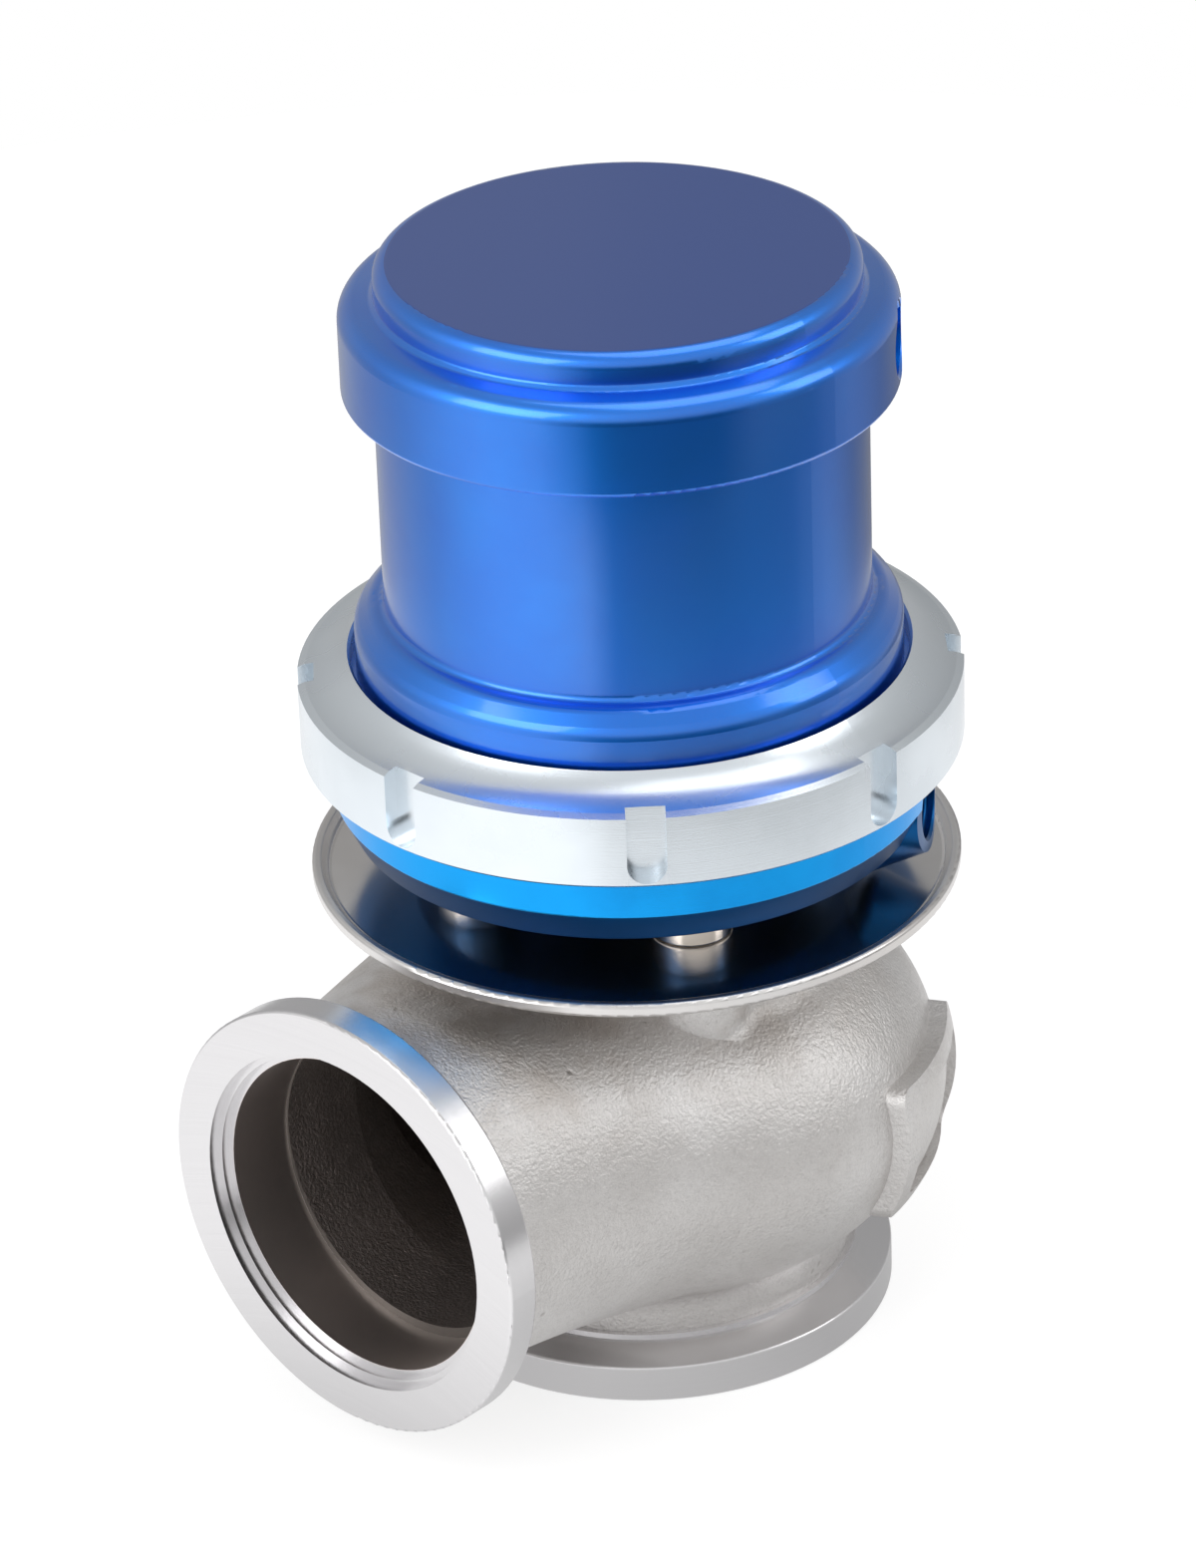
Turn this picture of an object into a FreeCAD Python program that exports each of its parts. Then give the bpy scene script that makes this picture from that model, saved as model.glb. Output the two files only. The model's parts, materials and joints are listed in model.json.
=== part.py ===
import FreeCAD, Part
import math
import os

# Turbo wastegate: a spring-loaded poppet valve in a cast exhaust housing, worked by a diaphragm.
# Millimetres, +Z up along the valve axis. The origin is the centre of the inlet flange's underside.
# The outlet looks along -Y.

# Clearances
press_gap = 0.0
running_gap = 0.05
stem_gap = 0.04
hub_hole_gap = 0.16
face_gap = 0.05
seat_gap = 0.12
screw_hole_gap = 0.25

# Small things that many parts share
edge_break = 0.35
seal_round = 0.3
overcut = 1.0
corner_share = 0.49
tiny = 0.001

# Inlet flange and neck of the cast housing
inlet_flange_w = 4.3
inlet_rim_h = 4.67
flange_back_angle = 17.0
inlet_shoulder_w = 0.7
inlet_neck_wall = 2.5

# Round cast body: an arc spun about the valve axis
body_arc_r = 20.0
body_arc_offset = 16.1
body_mid_z = 29.6
body_wall = 4.5
body_blend_r = 4.0
neck_blend_share = 0.9

# Deck on top of the casting, where the actuator is bolted down
deck_r = 24.0
deck_z = 57.8
screw_circle_r = 20.0
screw_count = 4
screw_start_deg = -29.5
screw_boss_r = 6.6
screw_boss_sunk = 3.6
screw_boss_blend_r = 2.5

# Outlet neck and flange
outlet_axis_z = 32.24
outlet_face_y = 53.2
outlet_flange_r = 27.0
outlet_rim_t = 4.28
outlet_shoulder_r = 25.0
outlet_neck_r = 22.8
outlet_bore_r = 20.0
outlet_bore_end_y = 31.0
outlet_recess_r = 21.6
outlet_recess_t = 1.3
outlet_step_r = 20.8
outlet_step_t = 1.1
cast_passage_r = 18.8
horn_root_y = 9.8
horn_root_sink = 0.75
horn_side_sink = 0.03
horn_least_flat = 0.1
horn_flare = 1.3
horn_drop_flare = 3.0
horn_sections = 5

# Raised pad on the side of the casting, with a plain sunk field
pad_deg = 27.0
pad_half_width = 12.2
pad_low_z = 18.2
pad_high_z = 36.4
pad_proud = 2.1
pad_border = 2.4
pad_sunk = 1.2
pad_corner_r = 2.0

# Valve seat ring and poppet valve
throat_r = 19.0
seat_ring_wall = 3.5
seat_ring_h = 9.0
seat_start_z = 7.0
valve_under_cover = 0.4
valve_face_w = 1.2
valve_margin = 1.3
valve_tulip_r = 16.0
valve_tulip_rise = 2.0
valve_lift = 9.0
stem_r = 4.0
stem_thread_r = 3.2
stem_thread_showing = 1.5
stem_end_break = 0.6

# Stem guide
guide_r = 6.5
guide_low_z = 38.0
guide_top_z = 60.6
guide_boss_r = 9.0
guide_boss_low_z = 41.0
guide_nose_w = 1.5
guide_nose_h = 2.5

# Heat shield dish
shield_t = 1.2
shield_r = 39.0
shield_lip_w = 1.1
shield_lip_slope_w = 0.8
shield_lip_h = 1.2
shield_edge_drop = 0.3
shield_under_w = 1.6
shield_hub_hole_r = 7.4
shield_under_round = 1.5
shield_edge_round = 0.5
shield_lip_round = 0.3
shield_cove_round = 0.8

# Standoff spacers and housing screws
spacer_r = 4.85
spacer_h = 4.0
screw_r = 2.5
screw_head_r = 4.25
screw_head_h = 5.0
screw_tip_z = 51.2
screw_socket_flats = 4.0
screw_socket_depth = 2.5

# Actuator base
base_r = 35.9
base_band_low_z = 70.1
base_under_in = 1.95
base_under_z = 66.2
base_foot_r = 26.5
base_floor_t = 4.5
base_rim_wall = 4.7
base_bowl_step = 2.4
base_bowl_step_z = 78.0
base_rim_z = 82.4
base_foot_round = 1.0
base_bowl_round = 1.5
counterbore_depth = 2.3
hub_r = 9.0
hub_top_z = 70.6
hub_lip_t = 1.2
bush_r = 6.0
bush_h = 3.2
stem_seal_h = 1.6
seal_washer_t = 0.7
ring_groove_r = 6.6
ring_t = 0.6

# Boost ports
port_r = 4.55
port_break = 0.35
base_port_depth = 8.0
cap_port_depth = 6.0
passage_r = 2.4
passage_overrun = 1.0
drill_point_slope = 0.5
base_port_deg = 30.0
base_port_z = 68.9
base_port_boss_r = 6.1
base_port_root_r = 5.5
base_port_belly_r = 9.3
base_port_belly_in = 7.4
base_port_belly_round = 2.0
base_port_belly_w = 3.5
cap_port_deg = 35.8
cap_port_below_top = 10.0

# Diaphragm, pistons and nut
diaphragm_t = 1.2
diaphragm_bead_t = 1.6
diaphragm_rim_gap = 0.6
diaphragm_bead_w = 3.1
diaphragm_bead_round = 0.4
diaphragm_roll_inner_r = 1.0
diaphragm_roll_outer_r = 2.0
lower_piston_t = 2.5
piston_roll_gap = 4.2
piston_floor_t = 2.8
piston_skirt_top_z = 84.0
piston_skirt_t = 1.7
piston_edge_round = 0.8
piston_boss_gap = 2.5
piston_boss_h = 1.5
stem_ring_w = 1.4
stem_ring_h = 1.3
washer_r = 7.4
washer_t = 1.0
nut_flats = 13.0
nut_h = 5.0

# Springs
outer_spring_gap = 0.7
outer_wire = 3.6
outer_turns = 6.5
inner_spring_share = 0.53
inner_wire = 2.8
inner_turns = 8.0
spring_ring_gap_share = 0.13
spring_ring_h = 2.5
spring_ring_round = 0.4

# Locking collar
collar_wall = 3.6
collar_low_z = 75.9
collar_side_z = 84.84
collar_lip_reach = 2.8
collar_lip_t = 2.4
collar_top_z = 87.9
collar_cove_in = 0.9
collar_cove_z = 85.2
collar_cove_sag = 0.55
slot_count = 8
slot_start_deg = -0.8
slot_width = 4.6
slot_depth = 2.0
slot_low_z = 76.4

# Actuator cap
cap_foot_gap = 0.4
cap_flange_gap = 0.65
cap_flange_top_z = 91.9
cap_flange_round = 2.2
cap_flange_back_z = 94.2
cap_barrel_in = 3.65
cap_barrel_low_round = 0.8
cap_barrel_high_round = 0.4
cap_barrel_low_z = 94.4
cap_head_h = 10.7
cap_head_overhang = 3.75
cap_head_break = 0.6
cap_head_below_top = 4.8
cap_head_round = 2.25
cap_shoulder_below_top = 4.1
cap_shoulder_round = 0.5
cap_dome_in = 0.5
cap_dome_h = 3.6
cap_dome_low_round = 0.3
cap_dome_round = 2.9
cap_top_z = 137.3
cap_wall = 3.0
cap_bore_low_z = 91.0
cap_bore_low_round = 2.0
cap_skirt_bore_in = 0.2
cap_skirt_bore_z = 87.0
cap_ceiling_below_top = 6.3
cap_ceiling_round = 2.0

# Worked out from the sizes above
shield_top_z = deck_z + shield_t
base_foot_z = shield_top_z + spacer_h
base_floor_z = base_foot_z + base_floor_t
bush_z = base_foot_z + hub_lip_t
stem_seal_z = bush_z + bush_h
seal_washer_z = stem_seal_z + stem_seal_h
ring_z = seal_washer_z + seal_washer_t
screw_seat_z = base_floor_z - counterbore_depth
cap_foot_z = base_rim_z + diaphragm_bead_t
diaphragm_bead_z = base_rim_z + diaphragm_bead_t / 2
diaphragm_mid_z = diaphragm_bead_z - valve_lift
diaphragm_z = diaphragm_mid_z - diaphragm_t / 2
lower_piston_z = diaphragm_z - lower_piston_t
piston_z = diaphragm_z + diaphragm_t
spring_seat_z = piston_z + piston_floor_t
washer_z = spring_seat_z + piston_boss_h
nut_z = washer_z + washer_t
stem_top_z = nut_z + nut_h + stem_thread_showing
collar_lip_z = collar_top_z - collar_lip_t
collar_bore_r = base_r + running_gap
collar_r = base_r + collar_wall
collar_cove_r = collar_r - collar_cove_in
collar_lip_r = base_r - collar_lip_reach
base_under_r = base_r - base_under_in
base_bowl_top_r = base_r - base_rim_wall
base_bowl_r = base_bowl_top_r - base_bowl_step
base_port_belly_at = base_r - base_port_belly_in
base_port_inner_at = base_port_belly_at - base_port_belly_w
diaphragm_r = base_r - diaphragm_rim_gap
diaphragm_bead_inner_r = diaphragm_r - diaphragm_bead_w
piston_r = base_bowl_r - piston_roll_gap
cap_foot_r = base_r - cap_foot_gap
cap_skirt_bore_r = base_bowl_top_r - cap_skirt_bore_in
cap_flange_r = collar_lip_r - cap_flange_gap
cap_barrel_r = cap_flange_r - cap_barrel_in
cap_head_r = cap_barrel_r + cap_head_overhang
cap_dome_r = cap_barrel_r - cap_dome_in
cap_bore_r = cap_barrel_r - cap_wall
cap_head_top_z = cap_top_z - cap_head_below_top
cap_barrel_high_z = cap_head_top_z - cap_head_h
cap_shoulder_z = cap_top_z - cap_shoulder_below_top
cap_dome_low_z = cap_top_z - cap_dome_h
cap_ceiling_z = cap_top_z - cap_ceiling_below_top
cap_port_z = cap_top_z - cap_port_below_top
seat_ring_r = throat_r + seat_ring_wall
inlet_neck_r = seat_ring_r + inlet_neck_wall
inlet_shoulder_r = inlet_neck_r + inlet_shoulder_w
inlet_flange_r = inlet_shoulder_r + inlet_flange_w
valve_under_r = throat_r + valve_under_cover
valve_head_r = valve_under_r + valve_face_w
inlet_cone_h = (inlet_flange_r - inlet_shoulder_r) * math.tan(math.radians(flange_back_angle))
outlet_cone_t = (outlet_flange_r - outlet_shoulder_r) * math.tan(math.radians(flange_back_angle))
outlet_shoulder_y = outlet_face_y - outlet_rim_t - outlet_cone_t
nut_corner_r = nut_flats / math.sqrt(3)
outer_spring_r = piston_r - piston_skirt_t - outer_spring_gap - outer_wire / 2
outer_spring_inside_r = outer_spring_r - outer_wire / 2
inner_spring_r = nut_corner_r + (outer_spring_inside_r - nut_corner_r) * inner_spring_share
inner_spring_outside_r = inner_spring_r + inner_wire / 2
spring_ring_gap = (outer_spring_inside_r - inner_spring_outside_r) * spring_ring_gap_share
spring_ring_outer_r = outer_spring_inside_r - spring_ring_gap
spring_ring_inner_r = inner_spring_outside_r + spring_ring_gap
piston_boss_r = inner_spring_r - inner_wire / 2 - piston_boss_gap

UP = FreeCAD.Vector(0, 0, 1)
ORIGIN = FreeCAD.Vector(0, 0, 0)


def polar(radius, degrees, z=0.0):
    """The point at a radius and an angle about the valve axis."""
    angle = math.radians(degrees)
    return FreeCAD.Vector(radius * math.cos(angle), radius * math.sin(angle), z)


def rounded_edges(corners):
    """Edges of a closed outline through (r, z) corners, rounded where a corner has a third value."""
    count = len(corners)
    points = [FreeCAD.Vector(corner[0], 0, corner[1]) for corner in corners]
    starts = []
    arcs = []
    for i in range(count):
        here = points[i]
        radius = corners[i][2] if len(corners[i]) > 2 else 0.0
        back = points[i - 1] - here
        ahead = points[(i + 1) % count] - here
        if radius <= 0:
            starts.append((here, here))
            arcs.append(None)
            continue
        half = back.getAngle(ahead) / 2
        longest = corner_share * min(back.Length, ahead.Length)
        reach = min(radius / math.tan(half), longest)
        back.normalize()
        ahead.normalize()
        first = here + back * reach
        last = here + ahead * reach
        middle = back + ahead
        middle.normalize()
        centre_far = reach / math.cos(half)
        arc_r = reach * math.tan(half)
        starts.append((first, last))
        arcs.append(here + middle * (centre_far - arc_r))
    edges = []
    for i in range(count):
        first, last = starts[i]
        if arcs[i] is not None:
            edges.append(Part.Arc(first, arcs[i], last).toShape())
        following = starts[(i + 1) % count][0]
        if last.distanceToPoint(following) > tiny:
            edges.append(Part.LineSegment(last, following).toShape())
    return edges


def turned(*corners):
    """A turned part: the outline through the corners, spun about the valve axis."""
    face = Part.Face(Part.Wire(rounded_edges(corners)))
    return face.revolve(ORIGIN, UP, 360)


def rod(radius, low_z, high_z, at=ORIGIN):
    """An upright cylinder between two heights."""
    return Part.makeCylinder(radius, high_z - low_z, FreeCAD.Vector(at.x, at.y, low_z), UP)


def outlet_turned(*corners):
    """A part turned about the outlet's axis, from (radius, distance) corners."""
    shape = turned(*corners)
    shape.rotate(ORIGIN, FreeCAD.Vector(1, 0, 0), 90)
    shape.translate(FreeCAD.Vector(0, 0, outlet_axis_z))
    return shape


def radial_turned(degrees, z, *corners):
    """A part turned about a line that runs out from the valve axis, from (radius, distance) corners."""
    shape = turned(*corners)
    shape.rotate(ORIGIN, FreeCAD.Vector(0, 1, 0), 90)
    shape.rotate(ORIGIN, UP, degrees)
    shape.translate(FreeCAD.Vector(0, 0, z))
    return shape


def screw_places():
    """Centres of the housing screws."""
    step = 360.0 / screw_count
    return [polar(screw_circle_r, screw_start_deg + step * i) for i in range(screw_count)]


def rings_at(shape, radius, z):
    """The edges that ring the valve axis at a radius and a height."""
    found = []
    for edge in shape.Edges:
        middle = (edge.FirstParameter + edge.LastParameter) / 2
        points = [edge.valueAt(edge.FirstParameter), edge.valueAt(middle)]
        misses = [abs(math.hypot(p.x, p.y) - radius) + abs(p.z - z) for p in points]
        if max(misses) < tiny:
            found.append(edge)
    return found


def boss_joins(shape):
    """The edges where the screw bosses run into the body."""
    found = []
    for edge in shape.Edges:
        if edge.BoundBox.ZMax > deck_z - tiny:
            continue
        surfaces = [face.Surface for face in shape.ancestorsOfType(edge, Part.Face)]
        on_boss = [isinstance(s, Part.Cylinder) and abs(s.Radius - screw_boss_r) < tiny for s in surfaces]
        if any(on_boss) and not all(on_boss):
            found.append(edge)
    return found


def horn_section(share, from_y, from_r, wall):
    """Long-round outline of the outlet neck, at a share of the way from its round end to its root."""
    arc_r = body_arc_r - wall
    root_r = arc_r - horn_root_sink
    root_half_w = math.sqrt((body_arc_offset + arc_r) ** 2 - horn_root_y ** 2) - horn_side_sink
    grown = share ** horn_flare
    radius = from_r + (root_r - from_r) * grown
    half_flat = horn_least_flat + (root_half_w - root_r - horn_least_flat) * grown
    y = -from_y + (from_y - horn_root_y) * share
    z = outlet_axis_z + (body_mid_z - outlet_axis_z) * share ** horn_drop_flare
    left = FreeCAD.Vector(-half_flat, y, z)
    right = FreeCAD.Vector(half_flat, y, z)
    rise = UP * radius
    reach = FreeCAD.Vector(radius, 0, 0)
    return Part.Wire([
        Part.LineSegment(left + rise, right + rise).toShape(),
        Part.Arc(right + rise, right + reach, right - rise).toShape(),
        Part.LineSegment(right - rise, left - rise).toShape(),
        Part.Arc(left - rise, left - reach, left + rise).toShape(),
    ])


def horn(from_y, from_r, wall):
    """The outlet neck's form, widening from a circle until it runs into the round body."""
    shares = [i / (horn_sections - 1) for i in range(horn_sections)]
    return Part.makeLoft([horn_section(share, from_y, from_r, wall) for share in shares], True)


def bulb(outward):
    """The round cast body, grown outward by a distance, or shrunk where it is negative."""
    radius = body_arc_r + outward
    low = FreeCAD.Vector(body_arc_offset, 0, body_mid_z - radius)
    side = FreeCAD.Vector(body_arc_offset + radius, 0, body_mid_z)
    high = FreeCAD.Vector(body_arc_offset, 0, body_mid_z + radius)
    low_axis = FreeCAD.Vector(0, 0, low.z)
    high_axis = FreeCAD.Vector(0, 0, high.z)
    edges = [
        Part.LineSegment(low_axis, low).toShape(),
        Part.Arc(low, side, high).toShape(),
        Part.LineSegment(high, high_axis).toShape(),
        Part.LineSegment(high_axis, low_axis).toShape(),
    ]
    return Part.Face(Part.Wire(edges)).revolve(ORIGIN, UP, 360)


def bulb_height_at(radius):
    """How far above or below its middle the body's skin is, at a radius from the valve axis."""
    return math.sqrt(body_arc_r ** 2 - (radius - body_arc_offset) ** 2)


def inlet_flange():
    """Clamp flange with its sloped back, and the machined shoulder above it."""
    shoulder_z = inlet_rim_h + inlet_cone_h
    return turned(
        (0, 0),
        (inlet_flange_r, 0, edge_break),
        (inlet_flange_r, inlet_rim_h, edge_break),
        (inlet_shoulder_r, shoulder_z),
        (inlet_shoulder_r, shoulder_z + (inlet_shoulder_r - inlet_neck_r)),
        (inlet_neck_r, shoulder_z + (inlet_shoulder_r - inlet_neck_r)),
        (inlet_neck_r, body_mid_z),
        (0, body_mid_z),
    )


def outlet_flange():
    """Clamp flange round the outlet, with its sloped back and shoulder."""
    rim_y = outlet_face_y - outlet_rim_t
    return outlet_turned(
        (0, outlet_shoulder_y - 2 * edge_break),
        (outlet_shoulder_r, outlet_shoulder_y - 2 * edge_break, edge_break),
        (outlet_shoulder_r, outlet_shoulder_y),
        (outlet_flange_r, rim_y, edge_break),
        (outlet_flange_r, outlet_face_y, edge_break),
        (0, outlet_face_y),
    )


def pad_prism(inset, from_r, to_r):
    """A block with the raised pad's outline, inset all round, between two distances from the axis."""
    half = pad_half_width - inset
    outline = rounded_edges([
        (-half, pad_low_z + inset, pad_corner_r),
        (half, pad_low_z + inset, pad_corner_r),
        (half, pad_high_z - inset, pad_corner_r),
        (-half, pad_high_z - inset, pad_corner_r),
    ])
    face = Part.Face(Part.Wire(outline))
    face.translate(FreeCAD.Vector(0, from_r, 0))
    block = face.extrude(FreeCAD.Vector(0, to_r - from_r, 0))
    block.rotate(ORIGIN, UP, pad_deg - 90)
    return block


def housing_outside():
    """The casting's outer form, still solid inside."""
    body = inlet_flange().fuse(bulb(0)).fuse(rod(deck_r, body_mid_z, deck_z)).removeSplitter()
    low_z = body_mid_z - bulb_height_at(inlet_neck_r)
    high_z = body_mid_z + bulb_height_at(deck_r)
    neck_h = low_z - inlet_rim_h - inlet_cone_h - inlet_shoulder_w
    neck_blend_r = min(body_blend_r, neck_h * neck_blend_share)
    body = body.makeFillet(neck_blend_r, rings_at(body, inlet_neck_r, low_z))
    body = body.makeFillet(body_blend_r, rings_at(body, deck_r, high_z))
    boss_low_z = body_mid_z + bulb_height_at(screw_circle_r + screw_boss_r) - screw_boss_sunk
    for place in screw_places():
        body = body.fuse(rod(screw_boss_r, boss_low_z, deck_z, place))
    body = body.makeFillet(screw_boss_blend_r, boss_joins(body))
    body = body.fuse(horn(outlet_shoulder_y, outlet_neck_r, 0))
    pad = bulb(pad_proud).common(pad_prism(0, body_arc_offset, 2 * inlet_flange_r))
    field = pad_prism(pad_border, body_arc_offset, 2 * inlet_flange_r).cut(bulb(pad_proud - pad_sunk))
    body = body.fuse(pad.cut(field))
    return body.fuse(outlet_flange())


def housing_inside():
    """Everything that is cut out of the casting."""
    seat_pocket = rod(seat_ring_r + press_gap, -overcut, seat_ring_h)
    throat = rod(seat_ring_r, seat_ring_h - overcut, body_mid_z)
    chamber = bulb(-body_wall)
    guide_boss = rod(guide_boss_r, guide_boss_low_z, deck_z)
    cavity = chamber.fuse(throat).cut(guide_boss).fuse(seat_pocket)
    cavity = cavity.fuse(horn(outlet_bore_end_y, cast_passage_r, body_wall))
    cavity = cavity.fuse(outlet_turned(
        (0, outlet_bore_end_y),
        (outlet_bore_r, outlet_bore_end_y),
        (outlet_bore_r, outlet_face_y - outlet_recess_t - outlet_step_t),
        (outlet_step_r, outlet_face_y - outlet_recess_t - outlet_step_t),
        (outlet_step_r, outlet_face_y - outlet_recess_t),
        (outlet_recess_r, outlet_face_y - outlet_recess_t),
        (outlet_recess_r, outlet_face_y + overcut),
        (0, outlet_face_y + overcut),
    ))
    cavity = cavity.fuse(rod(guide_r + press_gap, guide_boss_low_z - overcut, deck_z + overcut))
    for place in screw_places():
        cavity = cavity.fuse(rod(screw_r, screw_tip_z - screw_hole_gap, deck_z + overcut, place))
    return cavity


def valve_housing():
    """Cast exhaust housing with both clamp flanges, bored and hollowed."""
    return housing_outside().cut(housing_inside())


def valve_seat():
    """Hardened ring in the inlet, with a 45 degree seat at its top inner edge."""
    rise = seat_ring_h - seat_start_z
    return turned(
        (throat_r, 0),
        (seat_ring_r, 0),
        (seat_ring_r, seat_ring_h),
        (throat_r + rise, seat_ring_h),
        (throat_r, seat_start_z),
    )


def valve():
    """Poppet valve: head with a 45 degree face, tulip back and long stem with a threaded end."""
    face_low_z = seat_start_z + (valve_under_r - throat_r) + seat_gap
    face_high_z = face_low_z + (valve_head_r - valve_under_r)
    back_z = face_high_z + valve_margin
    return turned(
        (0, face_low_z),
        (valve_under_r, face_low_z, edge_break),
        (valve_head_r, face_high_z),
        (valve_head_r, back_z, edge_break),
        (stem_r, back_z + valve_tulip_rise, valve_tulip_r),
        (stem_r, lower_piston_z, edge_break),
        (stem_thread_r, lower_piston_z),
        (stem_thread_r, stem_top_z, stem_end_break),
        (0, stem_top_z),
    )


def valve_guide():
    """Bronze guide pressed into the casting, with a scraping edge at its lower end."""
    bore_r = stem_r + stem_gap
    return turned(
        (bore_r, guide_low_z),
        (guide_r - guide_nose_w, guide_low_z, edge_break),
        (guide_r, guide_low_z + guide_nose_h),
        (guide_r, guide_top_z, edge_break * 2),
        (bore_r, guide_top_z),
    )


def heat_shield():
    """Thin dished disc with an upturned, rolled lip."""
    top = shield_top_z
    lip_z = top + shield_lip_h
    lip_inner_r = shield_r - shield_lip_w
    dish = turned(
        (shield_hub_hole_r, deck_z),
        (shield_r - shield_under_w, deck_z, shield_under_round),
        (shield_r, top - shield_edge_drop, shield_edge_round),
        (shield_r, lip_z, shield_edge_round),
        (lip_inner_r, lip_z, shield_lip_round),
        (lip_inner_r - shield_lip_slope_w, top, shield_cove_round),
        (shield_hub_hole_r, top),
    )
    for place in screw_places():
        dish = dish.cut(rod(screw_r + screw_hole_gap, deck_z - overcut, top + overcut, place))
    return dish


def standoff_spacers():
    """Round spacers that hold the actuator off the heat shield, one round each screw."""
    bore_r = screw_r + screw_hole_gap
    spacer = turned(
        (bore_r, shield_top_z),
        (spacer_r, shield_top_z, edge_break),
        (spacer_r, base_foot_z, edge_break),
        (bore_r, base_foot_z),
    )
    return grouped(spacer)


def housing_screws():
    """Socket head screws from inside the actuator base down into the casting."""
    head_z = screw_seat_z + screw_head_h
    screw = turned(
        (0, screw_tip_z),
        (screw_r, screw_tip_z, edge_break),
        (screw_r, screw_seat_z),
        (screw_head_r, screw_seat_z),
        (screw_head_r, head_z, edge_break),
        (0, head_z),
    )
    screw = screw.cut(hexagon(screw_socket_flats, head_z - screw_socket_depth, head_z + overcut))
    return grouped(screw)


def grouped(shape):
    """Copies of a part made on the valve axis, one at each screw's place."""
    copies = []
    for place in screw_places():
        copy = shape.copy()
        copy.translate(place)
        copies.append(copy)
    return Part.makeCompound(copies)


def hexagon(flats, low_z, high_z):
    """A six-sided bar on the valve axis."""
    corner_r = flats / math.sqrt(3)
    corners = [polar(corner_r, 60 * i, low_z) for i in range(6)]
    face = Part.Face(Part.makePolygon(corners + [corners[0]]))
    return face.extrude(UP * (high_z - low_z))


def base_port_boss():
    """Swelling of the base round its boost port, deepest just inside the rim."""
    return radial_turned(
        base_port_deg, base_port_z,
        (0, base_port_inner_at),
        (base_port_root_r, base_port_inner_at),
        (base_port_belly_r, base_port_belly_at, base_port_belly_round),
        (base_port_boss_r, base_r),
        (0, base_r),
    )


def port_cut(degrees, z, outer_r, depth, chamber_r):
    """Tapped boost port with a broken edge and a smaller drilling through to the chamber inside."""
    inner_r = chamber_r - passage_overrun
    floor = outer_r - depth
    mouth_r = port_r + 2 * port_break
    return radial_turned(
        degrees, z,
        (0, inner_r),
        (passage_r, inner_r),
        (passage_r, floor),
        (port_r, floor + (port_r - passage_r) * drill_point_slope),
        (port_r, outer_r - port_break),
        (mouth_r, outer_r + port_break),
        (mouth_r, outer_r + overcut),
        (0, outer_r + overcut),
    )


def actuator_base():
    """Lower actuator body: a bowl with a threaded rim, a stem hub and the lower boost port."""
    body = turned(
        (0, base_foot_z),
        (base_foot_r, base_foot_z, base_foot_round),
        (base_under_r, base_under_z, edge_break),
        (base_r, base_band_low_z, edge_break),
        (base_r, base_rim_z),
        (0, base_rim_z),
    )
    body = body.fuse(base_port_boss().common(rod(base_r, shield_top_z, base_rim_z)))
    widening = base_bowl_top_r - base_bowl_r
    bowl = turned(
        (0, base_floor_z),
        (base_bowl_r, base_floor_z, base_bowl_round),
        (base_bowl_r, base_bowl_step_z),
        (base_bowl_top_r, base_bowl_step_z + widening),
        (base_bowl_top_r, base_rim_z + overcut),
        (0, base_rim_z + overcut),
    )
    body = body.cut(bowl).fuse(rod(hub_r, base_foot_z, hub_top_z))
    hub_bore = turned(
        (0, base_foot_z - overcut),
        (stem_r + hub_hole_gap, base_foot_z - overcut),
        (stem_r + hub_hole_gap, bush_z),
        (bush_r, bush_z),
        (bush_r, ring_z),
        (ring_groove_r, ring_z),
        (ring_groove_r, ring_z + ring_t),
        (bush_r, ring_z + ring_t),
        (bush_r, hub_top_z + overcut),
        (0, hub_top_z + overcut),
    )
    body = body.cut(hub_bore)
    for place in screw_places():
        body = body.cut(rod(screw_r + screw_hole_gap, base_foot_z - overcut, base_floor_z, place))
        body = body.cut(rod(screw_head_r + screw_hole_gap, screw_seat_z, hub_top_z, place))
    port = port_cut(base_port_deg, base_port_z, base_r, base_port_depth, base_bowl_r)
    return body.cut(port).removeSplitter()


def stem_bush():
    """Bronze bush that guides the stem in the base's hub."""
    bore_r = stem_r + stem_gap
    return turned(
        (bore_r, bush_z),
        (bush_r, bush_z),
        (bush_r, stem_seal_z),
        (bore_r, stem_seal_z),
    )


def stem_seal():
    """Soft ring that keeps boost pressure off the exhaust side."""
    bore_r = stem_r + running_gap
    return turned(
        (bore_r, stem_seal_z, seal_round),
        (bush_r, stem_seal_z, seal_round),
        (bush_r, seal_washer_z, seal_round),
        (bore_r, seal_washer_z, seal_round),
    )


def seal_washer():
    """Washer over the stem seal."""
    bore_r = stem_r + hub_hole_gap
    return turned(
        (bore_r, seal_washer_z),
        (bush_r, seal_washer_z),
        (bush_r, ring_z),
        (bore_r, ring_z),
    )


def retaining_ring():
    """Open spring ring in the hub's groove, above the seal washer."""
    inner_r = (stem_r + bush_r) / 2
    ring = turned(
        (inner_r, ring_z),
        (ring_groove_r, ring_z),
        (ring_groove_r, ring_z + ring_t),
        (inner_r, ring_z + ring_t),
    )
    gap = Part.makeBox(ring_groove_r + overcut, inner_r, ring_t + 2 * overcut)
    gap.translate(FreeCAD.Vector(0, -inner_r / 2, ring_z - overcut))
    return ring.cut(gap)


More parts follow.
